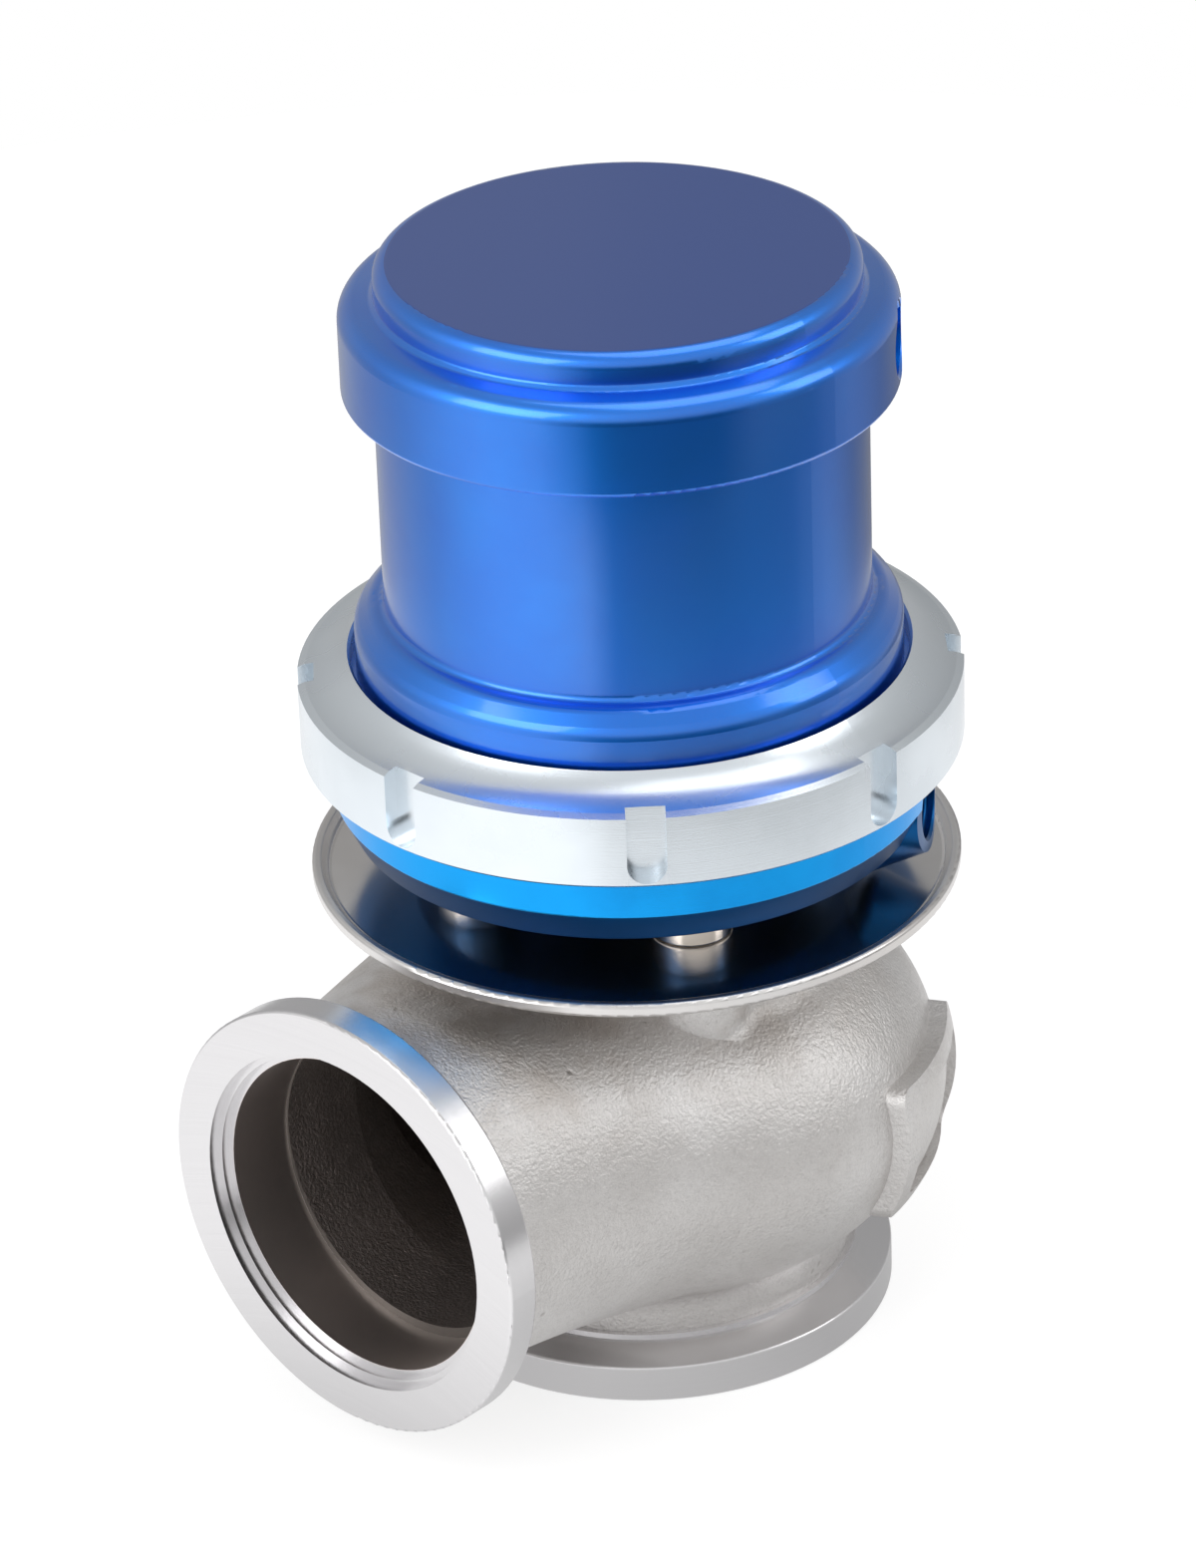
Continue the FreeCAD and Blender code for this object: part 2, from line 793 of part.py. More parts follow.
def diaphragm():
    """Moulded rubber diaphragm: clamped bead, one rolling wall and a flat middle."""
    half = diaphragm_t / 2
    wall_low_r = (piston_r + base_bowl_r) / 2 + half / 2
    wall_high_r = (base_bowl_top_r + piston_r) / 2 + 2 * half
    return turned(
        (stem_thread_r, diaphragm_z),
        (wall_low_r + half, diaphragm_z, diaphragm_roll_outer_r),
        (wall_high_r + half, diaphragm_bead_z - half, diaphragm_roll_inner_r),
        (diaphragm_bead_inner_r, diaphragm_bead_z - half),
        (diaphragm_bead_inner_r, base_rim_z),
        (diaphragm_r, base_rim_z, diaphragm_bead_round),
        (diaphragm_r, cap_foot_z, diaphragm_bead_round),
        (diaphragm_bead_inner_r, cap_foot_z),
        (diaphragm_bead_inner_r, diaphragm_bead_z + half),
        (wall_high_r - half, diaphragm_bead_z + half, diaphragm_roll_outer_r),
        (wall_low_r - half, piston_z, diaphragm_roll_inner_r),
        (stem_thread_r, piston_z),
    )


def lower_piston():
    """Plate under the diaphragm, sitting on the stem's shoulder."""
    o_ring_z = diaphragm_z - stem_ring_h
    return turned(
        (stem_thread_r, lower_piston_z),
        (piston_r, lower_piston_z, piston_edge_round),
        (piston_r, diaphragm_z, piston_edge_round),
        (stem_thread_r + stem_ring_w, diaphragm_z),
        (stem_thread_r + stem_ring_w, o_ring_z),
        (stem_thread_r, o_ring_z),
    )


def stem_o_ring():
    """Small seal in the lower piston, round the stem's threaded end."""
    o_ring_z = diaphragm_z - stem_ring_h
    return turned(
        (stem_thread_r, o_ring_z, seal_round),
        (stem_thread_r + stem_ring_w, o_ring_z, seal_round),
        (stem_thread_r + stem_ring_w, diaphragm_z, seal_round),
        (stem_thread_r, diaphragm_z, seal_round),
    )


def upper_piston():
    """Cup above the diaphragm that seats both springs."""
    skirt_r = piston_r - piston_skirt_t
    ring_top_z = spring_seat_z + spring_ring_h
    return turned(
        (stem_thread_r, piston_z),
        (piston_r, piston_z, piston_edge_round),
        (piston_r, piston_skirt_top_z, piston_edge_round),
        (skirt_r, piston_skirt_top_z, piston_edge_round),
        (skirt_r, spring_seat_z, piston_edge_round),
        (spring_ring_outer_r, spring_seat_z),
        (spring_ring_outer_r, ring_top_z, spring_ring_round),
        (spring_ring_inner_r, ring_top_z, spring_ring_round),
        (spring_ring_inner_r, spring_seat_z),
        (piston_boss_r, spring_seat_z),
        (piston_boss_r, washer_z, piston_edge_round),
        (stem_thread_r, washer_z),
    )


def piston_washer():
    """Washer under the piston nut."""
    return turned(
        (stem_thread_r, washer_z),
        (washer_r, washer_z),
        (washer_r, nut_z),
        (stem_thread_r, nut_z),
    )


def piston_nut():
    """Lock nut that holds the pistons and the diaphragm on the stem."""
    top_z = nut_z + nut_h
    nut = hexagon(nut_flats, nut_z, top_z)
    chamfer = turned(
        (0, nut_z),
        (nut_corner_r, nut_z),
        (nut_corner_r, top_z - (nut_corner_r - nut_flats / 2)),
        (nut_flats / 2, top_z),
        (0, top_z),
    )
    return nut.common(chamfer).cut(rod(stem_thread_r, nut_z - overcut, top_z + overcut))


def spring(mean_r, wire, turns):
    """Compression spring between the piston and the cap, with both ends ground flat."""
    length = cap_ceiling_z - spring_seat_z
    ground = wire / 4
    height = length - 2 * ground
    path = Part.makeHelix(height / turns, height, mean_r)
    section = Part.Wire(Part.makeCircle(wire / 2, FreeCAD.Vector(mean_r, 0, 0), FreeCAD.Vector(0, 1, 0)))
    coil = Part.Wire(path.Edges).makePipeShell([section], True, True)
    coil.translate(FreeCAD.Vector(0, 0, spring_seat_z + ground))
    return coil.common(rod(mean_r + wire, spring_seat_z, cap_ceiling_z))


def outer_spring():
    """The larger spring."""
    return spring(outer_spring_r, outer_wire, outer_turns)


def inner_spring():
    """The smaller spring, inside the larger one."""
    return spring(inner_spring_r, inner_wire, inner_turns)


def slot_tool():
    """Spanner slot cut in the collar's side, open at the top with a round lower end."""
    half = slot_width / 2
    back_r = collar_r - slot_depth
    low_centre = FreeCAD.Vector(back_r, 0, slot_low_z + half)
    low = Part.makeCylinder(half, 2 * slot_depth, low_centre, FreeCAD.Vector(1, 0, 0))
    height = collar_top_z - low_centre.z
    upright = Part.makeBox(2 * slot_depth, slot_width, height, low_centre - FreeCAD.Vector(0, half, 0))
    return low.fuse(upright)


def collar():
    """Locking collar: threaded bore, inward lip over the cap's foot, coved top and spanner slots."""
    middle_r = (collar_lip_r + collar_cove_r) / 2
    middle_z = (collar_top_z + collar_cove_z) / 2 - collar_cove_sag
    inner_top = FreeCAD.Vector(collar_lip_r + edge_break, 0, collar_top_z)
    outer_top = FreeCAD.Vector(collar_cove_r, 0, collar_cove_z)
    corners = [
        outer_top,
        FreeCAD.Vector(collar_r, 0, collar_side_z),
        FreeCAD.Vector(collar_r, 0, collar_low_z + edge_break),
        FreeCAD.Vector(collar_r - edge_break, 0, collar_low_z),
        FreeCAD.Vector(collar_bore_r, 0, collar_low_z),
        FreeCAD.Vector(collar_bore_r, 0, collar_lip_z),
        FreeCAD.Vector(collar_lip_r, 0, collar_lip_z),
        FreeCAD.Vector(collar_lip_r, 0, collar_top_z - edge_break),
        inner_top,
    ]
    edges = [Part.Arc(inner_top, FreeCAD.Vector(middle_r, 0, middle_z), outer_top).toShape()]
    for first, last in zip(corners, corners[1:]):
        edges.append(Part.LineSegment(first, last).toShape())
    ring = Part.Face(Part.Wire(edges)).revolve(ORIGIN, UP, 360)
    for i in range(slot_count):
        tool = slot_tool()
        tool.rotate(ORIGIN, UP, slot_start_deg + 360.0 / slot_count * i)
        ring = ring.cut(tool)
    return ring


def cap_outside():
    """The cap's turned outer form, from its clamped foot to its flat top."""
    return turned(
        (0, cap_foot_z),
        (cap_foot_r, cap_foot_z, edge_break),
        (cap_foot_r, collar_lip_z - face_gap, edge_break),
        (cap_flange_r, collar_lip_z - face_gap),
        (cap_flange_r, cap_flange_top_z, cap_flange_round),
        (cap_flange_r - cap_flange_round, cap_flange_back_z, cap_flange_round),
        (cap_barrel_r, cap_barrel_low_z, cap_barrel_low_round),
        (cap_barrel_r, cap_barrel_high_z, cap_barrel_high_round),
        (cap_head_r, cap_barrel_high_z, cap_head_break),
        (cap_head_r, cap_head_top_z, cap_head_round),
        (cap_barrel_r, cap_shoulder_z, cap_shoulder_round),
        (cap_dome_r, cap_dome_low_z, cap_dome_low_round),
        (cap_dome_r, cap_top_z, cap_dome_round),
        (0, cap_top_z),
    )


def cap_inside():
    """The cap's spring chamber."""
    ring_low_z = cap_ceiling_z - spring_ring_h
    return turned(
        (0, cap_foot_z - overcut),
        (cap_skirt_bore_r, cap_foot_z - overcut),
        (cap_skirt_bore_r, cap_skirt_bore_z),
        (cap_bore_r, cap_bore_low_z, cap_bore_low_round),
        (cap_bore_r, cap_ceiling_z, cap_ceiling_round),
        (spring_ring_outer_r, cap_ceiling_z),
        (spring_ring_outer_r, ring_low_z, spring_ring_round),
        (spring_ring_inner_r, ring_low_z, spring_ring_round),
        (spring_ring_inner_r, cap_ceiling_z),
        (0, cap_ceiling_z),
    )


def actuator_cap():
    """Upper actuator body, turned from one billet, with the upper boost port in its head."""
    shell = cap_outside().cut(cap_inside())
    return shell.cut(port_cut(cap_port_deg, cap_port_z, cap_head_r, cap_port_depth, cap_bore_r))


NODES = {
    "valve_housing": valve_housing,
    "valve_seat": valve_seat,
    "valve": valve,
    "valve_guide": valve_guide,
    "heat_shield": heat_shield,
    "standoff_spacers": standoff_spacers,
    "housing_screws": housing_screws,
    "actuator_base": actuator_base,
    "stem_bush": stem_bush,
    "stem_seal": stem_seal,
    "seal_washer": seal_washer,
    "retaining_ring": retaining_ring,
    "diaphragm": diaphragm,
    "lower_piston": lower_piston,
    "stem_o_ring": stem_o_ring,
    "upper_piston": upper_piston,
    "piston_washer": piston_washer,
    "piston_nut": piston_nut,
    "outer_spring": outer_spring,
    "inner_spring": inner_spring,
    "collar": collar,
    "actuator_cap": actuator_cap,
}

os.makedirs("parts", exist_ok=True)
for name, make in NODES.items():
    shape = make()
    shape.exportStep("parts/" + name + ".step")
    print(name, len(shape.Solids), "solids, volume", round(shape.Volume, 1), "valid", shape.isValid())
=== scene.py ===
import json
import math

import bmesh
import bpy
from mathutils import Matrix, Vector


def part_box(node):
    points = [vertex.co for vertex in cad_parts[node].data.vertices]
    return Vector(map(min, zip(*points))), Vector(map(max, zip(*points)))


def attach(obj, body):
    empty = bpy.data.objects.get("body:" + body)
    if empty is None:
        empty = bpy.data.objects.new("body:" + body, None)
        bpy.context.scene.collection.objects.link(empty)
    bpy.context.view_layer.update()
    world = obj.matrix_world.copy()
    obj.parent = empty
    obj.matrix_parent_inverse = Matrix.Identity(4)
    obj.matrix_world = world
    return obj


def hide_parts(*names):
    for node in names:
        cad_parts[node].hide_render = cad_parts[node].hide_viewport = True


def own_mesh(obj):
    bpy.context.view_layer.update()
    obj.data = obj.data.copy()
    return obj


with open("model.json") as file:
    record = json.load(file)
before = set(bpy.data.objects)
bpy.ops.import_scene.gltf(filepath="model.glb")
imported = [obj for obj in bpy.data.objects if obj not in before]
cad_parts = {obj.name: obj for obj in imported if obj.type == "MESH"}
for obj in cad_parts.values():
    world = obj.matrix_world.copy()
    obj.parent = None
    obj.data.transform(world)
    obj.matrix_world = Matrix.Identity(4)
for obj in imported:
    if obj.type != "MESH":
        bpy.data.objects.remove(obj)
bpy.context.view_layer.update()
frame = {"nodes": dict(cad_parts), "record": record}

# A turbo wastegate dressed for the camera. Everything is in metres.
MM = 0.001

# Places read from the frame
TABLE_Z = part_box("valve_housing")[0].z
SHIELD_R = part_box("heat_shield")[1].x
BASE_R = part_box("actuator_base")[1].x
BASE_TOP_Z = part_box("actuator_base")[1].z
CAP_TOP_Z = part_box("actuator_cap")[1].z
MOUNTS = {mount["name"]: mount for mount in frame["record"]["mounts"]}
OUTLET_AXIS_Z = MOUNTS["outlet_face"]["pos_m"][2]
OUTLET_FACE_Y = MOUNTS["outlet_face"]["pos_m"][1]
OUTLET_BORE_R = MOUNTS["outlet_bore"]["dims"]["r_mm"] * MM

# Machined stretches of the casting, and where its inner walls lie
INLET_MACHINED_Z = 6.7 * MM
OUTLET_MACHINED_Y = OUTLET_FACE_Y + 5.6 * MM
OUTLET_BORE_SEEN_END_Y = -41.8 * MM
OUTLET_BORE_END_Y = -31.0 * MM
OUTLET_BORE_MASK_R = OUTLET_BORE_R + 0.05 * MM
DECK_MACHINED_Z = 57.5 * MM
BODY_MID = (0.0, 0.0, 29.6 * MM)
INNER_WALL_R = 34.5 * MM
PASSAGE_FROM_Y = -12.0 * MM

# Heights between which the casting gets patchy, brownish painted shade under the heat shield
UNDER_SHIELD_SHADE_Z = (38.0 * MM, 52.0 * MM)

# Edges of a finish on the shield and the cap, and of the painted shade on the base's underside
SHIELD_LIP_W = 2.0 * MM
BASE_SHADE_TOP_Z = 70.0 * MM
CAP_TOP_SKIN = 0.02 * MM

# The casting's skin, and the painted shade on its inner walls, with lighter specks
CAST_DEPTH = 0.20 * MM
INNER_SHADE_LIGHT = (0.34, 0.30, 0.285)
INNER_SHADE_DARK = (0.25, 0.22, 0.205)
INNER_SHADE_SPECK = (0.42, 0.38, 0.36)

# Springs: node, wire radius and turns
SPRINGS = (("outer_spring", 1.8 * MM, 6.5), ("inner_spring", 1.4 * MM, 8.0))
SPRING_POINTS = 48
SPRING_SIDES = 16

# Diaphragm
DIAPHRAGM_HOLE_R = 3.2 * MM
DIAPHRAGM_T = 1.2 * MM
DIAPHRAGM_BEAD_W = 3.1 * MM
DIAPHRAGM_WALL_LOW_R = 27.0 * MM
DIAPHRAGM_WALL_HIGH_R = 29.1 * MM
DIAPHRAGM_INNER_ROUND = 1.0 * MM
DIAPHRAGM_OUTER_ROUND = 2.0 * MM
DIAPHRAGM_BEAD_ROUND = 0.4 * MM
DIAPHRAGM_SIDES = 144

# Threads in the boost ports: piece, body, slot, turn in degrees, height, mouth's radius and length
PORT_THREADS = (
    ("base_port_thread", "housing", "bright_blue_anodised", 30.0, 68.9 * MM, BASE_R, 6.0 * MM),
    ("cap_port_thread", "cap", "deep_blue_anodised", 35.8, 127.3 * MM, 32.55 * MM, 4.2 * MM),
)
PORT_R = 4.55 * MM
PORT_PITCH = 0.9 * MM
PORT_THREAD_IN = 0.7 * MM
THREAD_RIDGE_SHARE = 0.48
THREAD_POINTS = 40
THREAD_SIDES = 4

# The cast step in the outlet
PASSAGE_R = 18.8 * MM
PASSAGE_LIP_FIT = 0.01 * MM
PASSAGE_LIP_WIDER = 0.45 * MM
PASSAGE_LIP_SHIFT = 0.42 * MM
PASSAGE_SIDES = 160

# Rounded corners of an outline, and the turn past which an edge stays sharp
ROUND_STEPS = 6
ROUND_SIDE_SHARE = 0.49
SHARP_TURN = math.radians(35)

# Camera
CAMERA_PLACE = (0.48582, -0.53005, 0.45364)
CAMERA_TURN = (61.804, 1.798, 41.889)
CAMERA_LENS = 156.7
CAMERA_SENSOR = 36.0
CAMERA_SIDE = math.atan2(CAMERA_PLACE[1], CAMERA_PLACE[0])

# Table top: its size, what the camera sees of it, and how it glows in reflections, as painted light with
# a painted shadow under the object. Each pair in FLOOR_NEAR, FLOOR_FAR, ROOM_LOW and ROOM_HIGH is a turn
# in degrees from the camera's side, and a level.
FLOOR_R = 0.325
FLOOR_SIDES = 96
FLOOR_CENTRE = (-0.04, 0.04)
FLOOR_SEEN_GREY = 0.38
FLOOR_SEEN_GLOW = 0.72
FLOOR_MIRRORED_GREY = 0.12
FLOOR_SHADOW_R = (0.035, 0.100)
FLOOR_SHADOW_SHARE = 0.55
FLOOR_FAR_R = (0.185, 0.215)
FLOOR_NEAR = ((-180, 0.82), (-100, 0.98), (-15, 1.05), (50, 0.78), (110, 0.88), (180, 0.82))
FLOOR_FAR = (
    (-180, 0.30), (-125, 0.40), (-96, 0.50), (-60, 1.05), (-18, 1.30), (-6, 0.22),
    (40, 0.10), (80, 0.08), (100, 0.40), (125, 0.12), (180, 0.15),
)

# Room beyond the table: its walls, low and high, and its ceiling, by the height of the view's direction
ROOM_LOW = (
    (-180, 0.40), (-102, 0.50), (-80, 0.85), (-62, 1.15), (-36, 1.05), (-24, 0.50),
    (-12, 0.07), (40, 0.07), (56, 0.35), (84, 0.30), (96, 0.55), (180, 0.40),
)
ROOM_HIGH = (
    (-180, 0.40), (-110, 0.60), (-70, 1.15), (0, 0.90), (50, 0.80), (110, 0.55), (180, 0.32),
)
ROOM_TOP = 0.65
ROOM_WALL_Z = (-0.15, 0.30)
ROOM_TOP_Z = (0.65, 0.95)

# Soft boxes: name, turn from the camera's side, height in degrees, distance, width, height and watts
LAMPS = (
    ("left_box", -50, 34, 0.75, 0.50, 0.45, 1.6),
    ("right_box", 82, 32, 0.75, 0.30, 0.45, 0.8),
    ("top_box", 120, 78, 0.80, 0.60, 0.50, 1.2),
)


# Shader helpers

def feed(tree, value, socket):
    """Gives an input its value: another socket, a number, a vector or a colour without alpha."""
    if isinstance(value, bpy.types.NodeSocket):
        tree.links.new(value, socket)
    elif socket.type == "RGBA":
        socket.default_value = (*value, 1.0)
    else:
        socket.default_value = value


def new_group(name, inputs, outputs):
    """An empty shader node group. Its inputs have a kind and a value each, and its outputs are floats."""
    tree = bpy.data.node_groups.new(name, "ShaderNodeTree")
    for label, kind, value in inputs:
        socket = tree.interface.new_socket(label, in_out="INPUT", socket_type="NodeSocket" + kind)
        if value is not None:
            socket.default_value = value
    for label in outputs:
        tree.interface.new_socket(label, in_out="OUTPUT", socket_type="NodeSocketFloat")
    return tree, tree.nodes.new("NodeGroupInput"), tree.nodes.new("NodeGroupOutput")


def math_node(tree, operation, *values):
    """A maths node's output. Its inputs are sockets or numbers."""
    node = tree.nodes.new("ShaderNodeMath")
    node.operation = operation
    for place, value in enumerate(values):
        feed(tree, value, node.inputs[place])
    return node.outputs[0]


def mix_colours(tree, factor, first, second):
    """A colour mix's output. The factor is a socket or a number, the rest are sockets or colours."""
    node = tree.nodes.new("ShaderNodeMix")
    node.data_type = "RGBA"
    for place, value in ((0, factor), (6, first), (7, second)):
        feed(tree, value, node.inputs[place])
    return node.outputs[2]


def mix_values(tree, factor, first, second):
    """A number mix's output. Its inputs are sockets or numbers."""
    node = tree.nodes.new("ShaderNodeMix")
    for place, value in ((0, factor), (2, first), (3, second)):
        feed(tree, value, node.inputs[place])
    return node.outputs[0]


def ramp(tree, value, low, high):
    """0 below low, 1 above high and a smooth climb between them."""
    node = tree.nodes.new("ShaderNodeMapRange")
    node.interpolation_type = "SMOOTHSTEP"
    tree.links.new(value, node.inputs["Value"])
    node.inputs["From Min"].default_value = low
    node.inputs["From Max"].default_value = high
    return node.outputs[0]


def noise(tree, vector, scale, detail=3.0, roughness=0.5):
    """A noise texture's value over a vector."""
    node = tree.nodes.new("ShaderNodeTexNoise")
    tree.links.new(vector, node.inputs["Vector"])
    node.inputs["Detail"].default_value = detail
    node.inputs["Roughness"].default_value = roughness
    feed(tree, scale, node.inputs["Scale"])
    return node.outputs[0]


def axes(tree, vector):
    """The X, Y and Z of a vector."""
    node = tree.nodes.new("ShaderNodeSeparateXYZ")
    tree.links.new(vector, node.inputs[0])
    return node.outputs


def distance(tree, first, second):
    """The distance from an axis, from two coordinates across it."""
    squares = math_node(
        tree, "ADD", math_node(tree, "POWER", first, 2.0), math_node(tree, "POWER", second, 2.0),
    )
    return math_node(tree, "SQRT", squares)


def place_group(tree, group, **values):
    """Puts a node group in a tree and gives its inputs their values."""
    node = tree.nodes.new("ShaderNodeGroup")
    node.node_tree = group
    for label, value in values.items():
        feed(tree, value, node.inputs[label])
    return node


def facing_out(tree, vector, centre):
    """How far a surface faces away from a centre: under 0 where it faces towards it."""
    away = tree.nodes.new("ShaderNodeVectorMath")
    away.operation = "SUBTRACT"
    tree.links.new(vector, away.inputs[0])
    away.inputs[1].default_value = centre
    normal = tree.nodes.new("ShaderNodeTexCoord")
    both = tree.nodes.new("ShaderNodeVectorMath")
    both.operation = "DOT_PRODUCT"
    tree.links.new(away.outputs["Vector"], both.inputs[0])
    tree.links.new(normal.outputs["Normal"], both.inputs[1])
    return both.outputs["Value"]


# Shared effects

def turning_group():
    """Lathe marks: fine rings about the Z axis of the vector, uneven from ring to ring."""
    tree, inside, outside = new_group(
        "turning_marks",
        [("Vector", "Vector", None), ("Pitch", "Float", 0.0002), ("Unevenness", "Float", 0.5)],
        ["Height", "Tone"],
    )
    x, y, z = axes(tree, inside.outputs["Vector"])
    radius = distance(tree, x, y)
    along = math_node(tree, "ADD", radius, z)
    across = math_node(tree, "SUBTRACT", radius, z)
    rings = tree.nodes.new("ShaderNodeCombineXYZ")
    tree.links.new(math_node(tree, "DIVIDE", along, inside.outputs["Pitch"]), rings.inputs[0])
    tree.links.new(math_node(tree, "DIVIDE", across, inside.outputs["Pitch"]), rings.inputs[1])
    fine = noise(tree, rings.outputs[0], 1.0, detail=2.0)
    broad = noise(tree, rings.outputs[0], 0.13, detail=2.0)
    height = mix_values(tree, inside.outputs["Unevenness"], fine, broad)
    tree.links.new(height, outside.inputs["Height"])
    tree.links.new(broad, outside.inputs["Tone"])
    return tree


def cast_group():
    """Blasted casting skin: sandy grain, soft lumps, dark specks and a few uneven pits."""
    tree, inside, outside = new_group(
        "cast_skin",
        [
            ("Vector", "Vector", None), ("Grain", "Float", 2300.0),
            ("Lumps", "Float", 300.0), ("Pits", "Float", 300.0),
        ],
        ["Height", "Tone", "Pit", "Grit", "Speck"],
    )
    vector = inside.outputs["Vector"]
    scale = inside.outputs["Grain"]
    grain = noise(tree, vector, scale, detail=2.0, roughness=0.6)
    fine = noise(tree, vector, math_node(tree, "MULTIPLY", scale, 1.7), detail=2.0, roughness=0.7)
    medium = noise(tree, vector, math_node(tree, "MULTIPLY", scale, 0.4), detail=2.0)
    lumps = noise(tree, vector, inside.outputs["Lumps"], detail=2.0)
    cloud = noise(tree, vector, 55.0)
    cells = tree.nodes.new("ShaderNodeTexVoronoi")
    tree.links.new(vector, cells.inputs["Vector"])
    tree.links.new(inside.outputs["Pits"], cells.inputs["Scale"])
    uneven = math_node(tree, "MULTIPLY_ADD", medium, 0.16, cells.outputs["Distance"])
    pit = math_node(tree, "SUBTRACT", 1.0, ramp(tree, uneven, 0.12, 0.24))
    sparse = ramp(tree, noise(tree, vector, 150.0, detail=1.0), 0.60, 0.66)
    pit = math_node(tree, "MULTIPLY", pit, sparse)
    height = math_node(tree, "MULTIPLY_ADD", grain, 0.75, math_node(tree, "MULTIPLY", lumps, 0.5))
    height = math_node(tree, "MULTIPLY_ADD", medium, 0.35, height)
    height = math_node(tree, "MULTIPLY_ADD", pit, -0.5, height)
    sand = math_node(tree, "MULTIPLY_ADD", medium, 0.35, math_node(tree, "MULTIPLY", fine, 0.65))
    speck = math_node(tree, "MULTIPLY", ramp(tree, sand, 0.48, 0.66), 0.30)
    tree.links.new(height, outside.inputs["Height"])
    tree.links.new(cloud, outside.inputs["Tone"])
    tree.links.new(pit, outside.inputs["Pit"])
    tree.links.new(grain, outside.inputs["Grit"])
    tree.links.new(speck, outside.inputs["Speck"])
    return tree


def satin_group():
    """Blasted and anodised skin: very fine grain, with soft changes of tone and gloss."""
    tree, inside, outside = new_group(
        "satin_skin",
        [("Vector", "Vector", None), ("Grain", "Float", 5200.0), ("Cloud", "Float", 70.0)],
        ["Height", "Tone"],
    )
    grain = noise(tree, inside.outputs["Vector"], inside.outputs["Grain"], detail=2.0)
    cloud = noise(tree, inside.outputs["Vector"], inside.outputs["Cloud"], detail=4.0)
    tree.links.new(grain, outside.inputs["Height"])
    tree.links.new(cloud, outside.inputs["Tone"])
    return tree


TURNING = turning_group()
CAST = cast_group()
SATIN = satin_group()


def satin_tone(tree, skin):
    """The satin group's tone as soft patches."""
    return ramp(tree, skin.outputs["Tone"], 0.35, 0.65)


def cast_skin(tree, vector):
    """The cast group's outputs, and its tone as soft patches."""
    skin = place_group(tree, CAST, Vector=vector)
    return skin.outputs, ramp(tree, skin.outputs["Tone"], 0.3, 0.7)


def inner_shade_colour(tree, skin, tone):
    """Colour of the painted shade on the casting's inner walls, with lighter specks."""
    painted_shade = mix_colours(tree, tone, INNER_SHADE_LIGHT, INNER_SHADE_DARK)
    return mix_colours(tree, skin["Speck"], painted_shade, INNER_SHADE_SPECK)


# Materials

def new_material(name, colour, metallic, roughness, **numbers):
    """A material's shader with its plain numbers, named with _ for a space, and Object coordinates."""
    material = bpy.data.materials.new(name)
    material.use_nodes = True
    material.diffuse_color = (*colour, 1.0)
    tree = material.node_tree
    shader = tree.nodes["Principled BSDF"]
    shader.inputs["Metallic"].default_value = metallic
    shader.inputs["Roughness"].default_value = roughness
    for label, value in numbers.items():
        shader.inputs[label.replace("_", " ")].default_value = value
    place = tree.nodes.new("ShaderNodeTexCoord")
    return material, tree, shader, place.outputs["Object"]


def paint(tree, shader, colour, gloss):
    """Feeds a colour and a roughness to the shader."""
    tree.links.new(colour, shader.inputs["Base Color"])
    tree.links.new(gloss, shader.inputs["Roughness"])


def bump(tree, shader, height, depth):
    """Feeds a height to the shader's normal."""
    node = tree.nodes.new("ShaderNodeBump")
    node.inputs["Strength"].default_value = 1.0
    node.inputs["Distance"].default_value = depth
    tree.links.new(height, node.inputs["Height"])
    tree.links.new(node.outputs["Normal"], shader.inputs["Normal"])


def marked_skin(tree, shader, vector, share, pitch, unevenness, depth):
    """Feeds satin grain mixed with a share of lathe marks to the shader. Returns its patches of tone."""
    skin = place_group(tree, SATIN, Vector=vector)
    marks = place_group(tree, TURNING, Vector=vector, Pitch=pitch, Unevenness=unevenness)
    bump(tree, shader, mix_values(tree, share, skin.outputs["Height"], marks.outputs["Height"]), depth)
    return satin_tone(tree, skin)


def turned_metal(name, colour, roughness):
    """Bare metal with lathe marks."""
    material, tree, shader, vector = new_material(name, colour, 1.0, roughness)
    marks = place_group(tree, TURNING, Vector=vector, Pitch=0.18 * MM, Unevenness=0.3)
    darker = tuple(0.9 * part for part in colour)
    shade = mix_colours(tree, marks.outputs["Tone"], colour, darker)
    gloss = mix_values(tree, marks.outputs["Height"], roughness - 0.04, roughness + 0.06)
    paint(tree, shader, shade, gloss)
    bump(tree, shader, marks.outputs["Height"], 0.006 * MM)
    return material


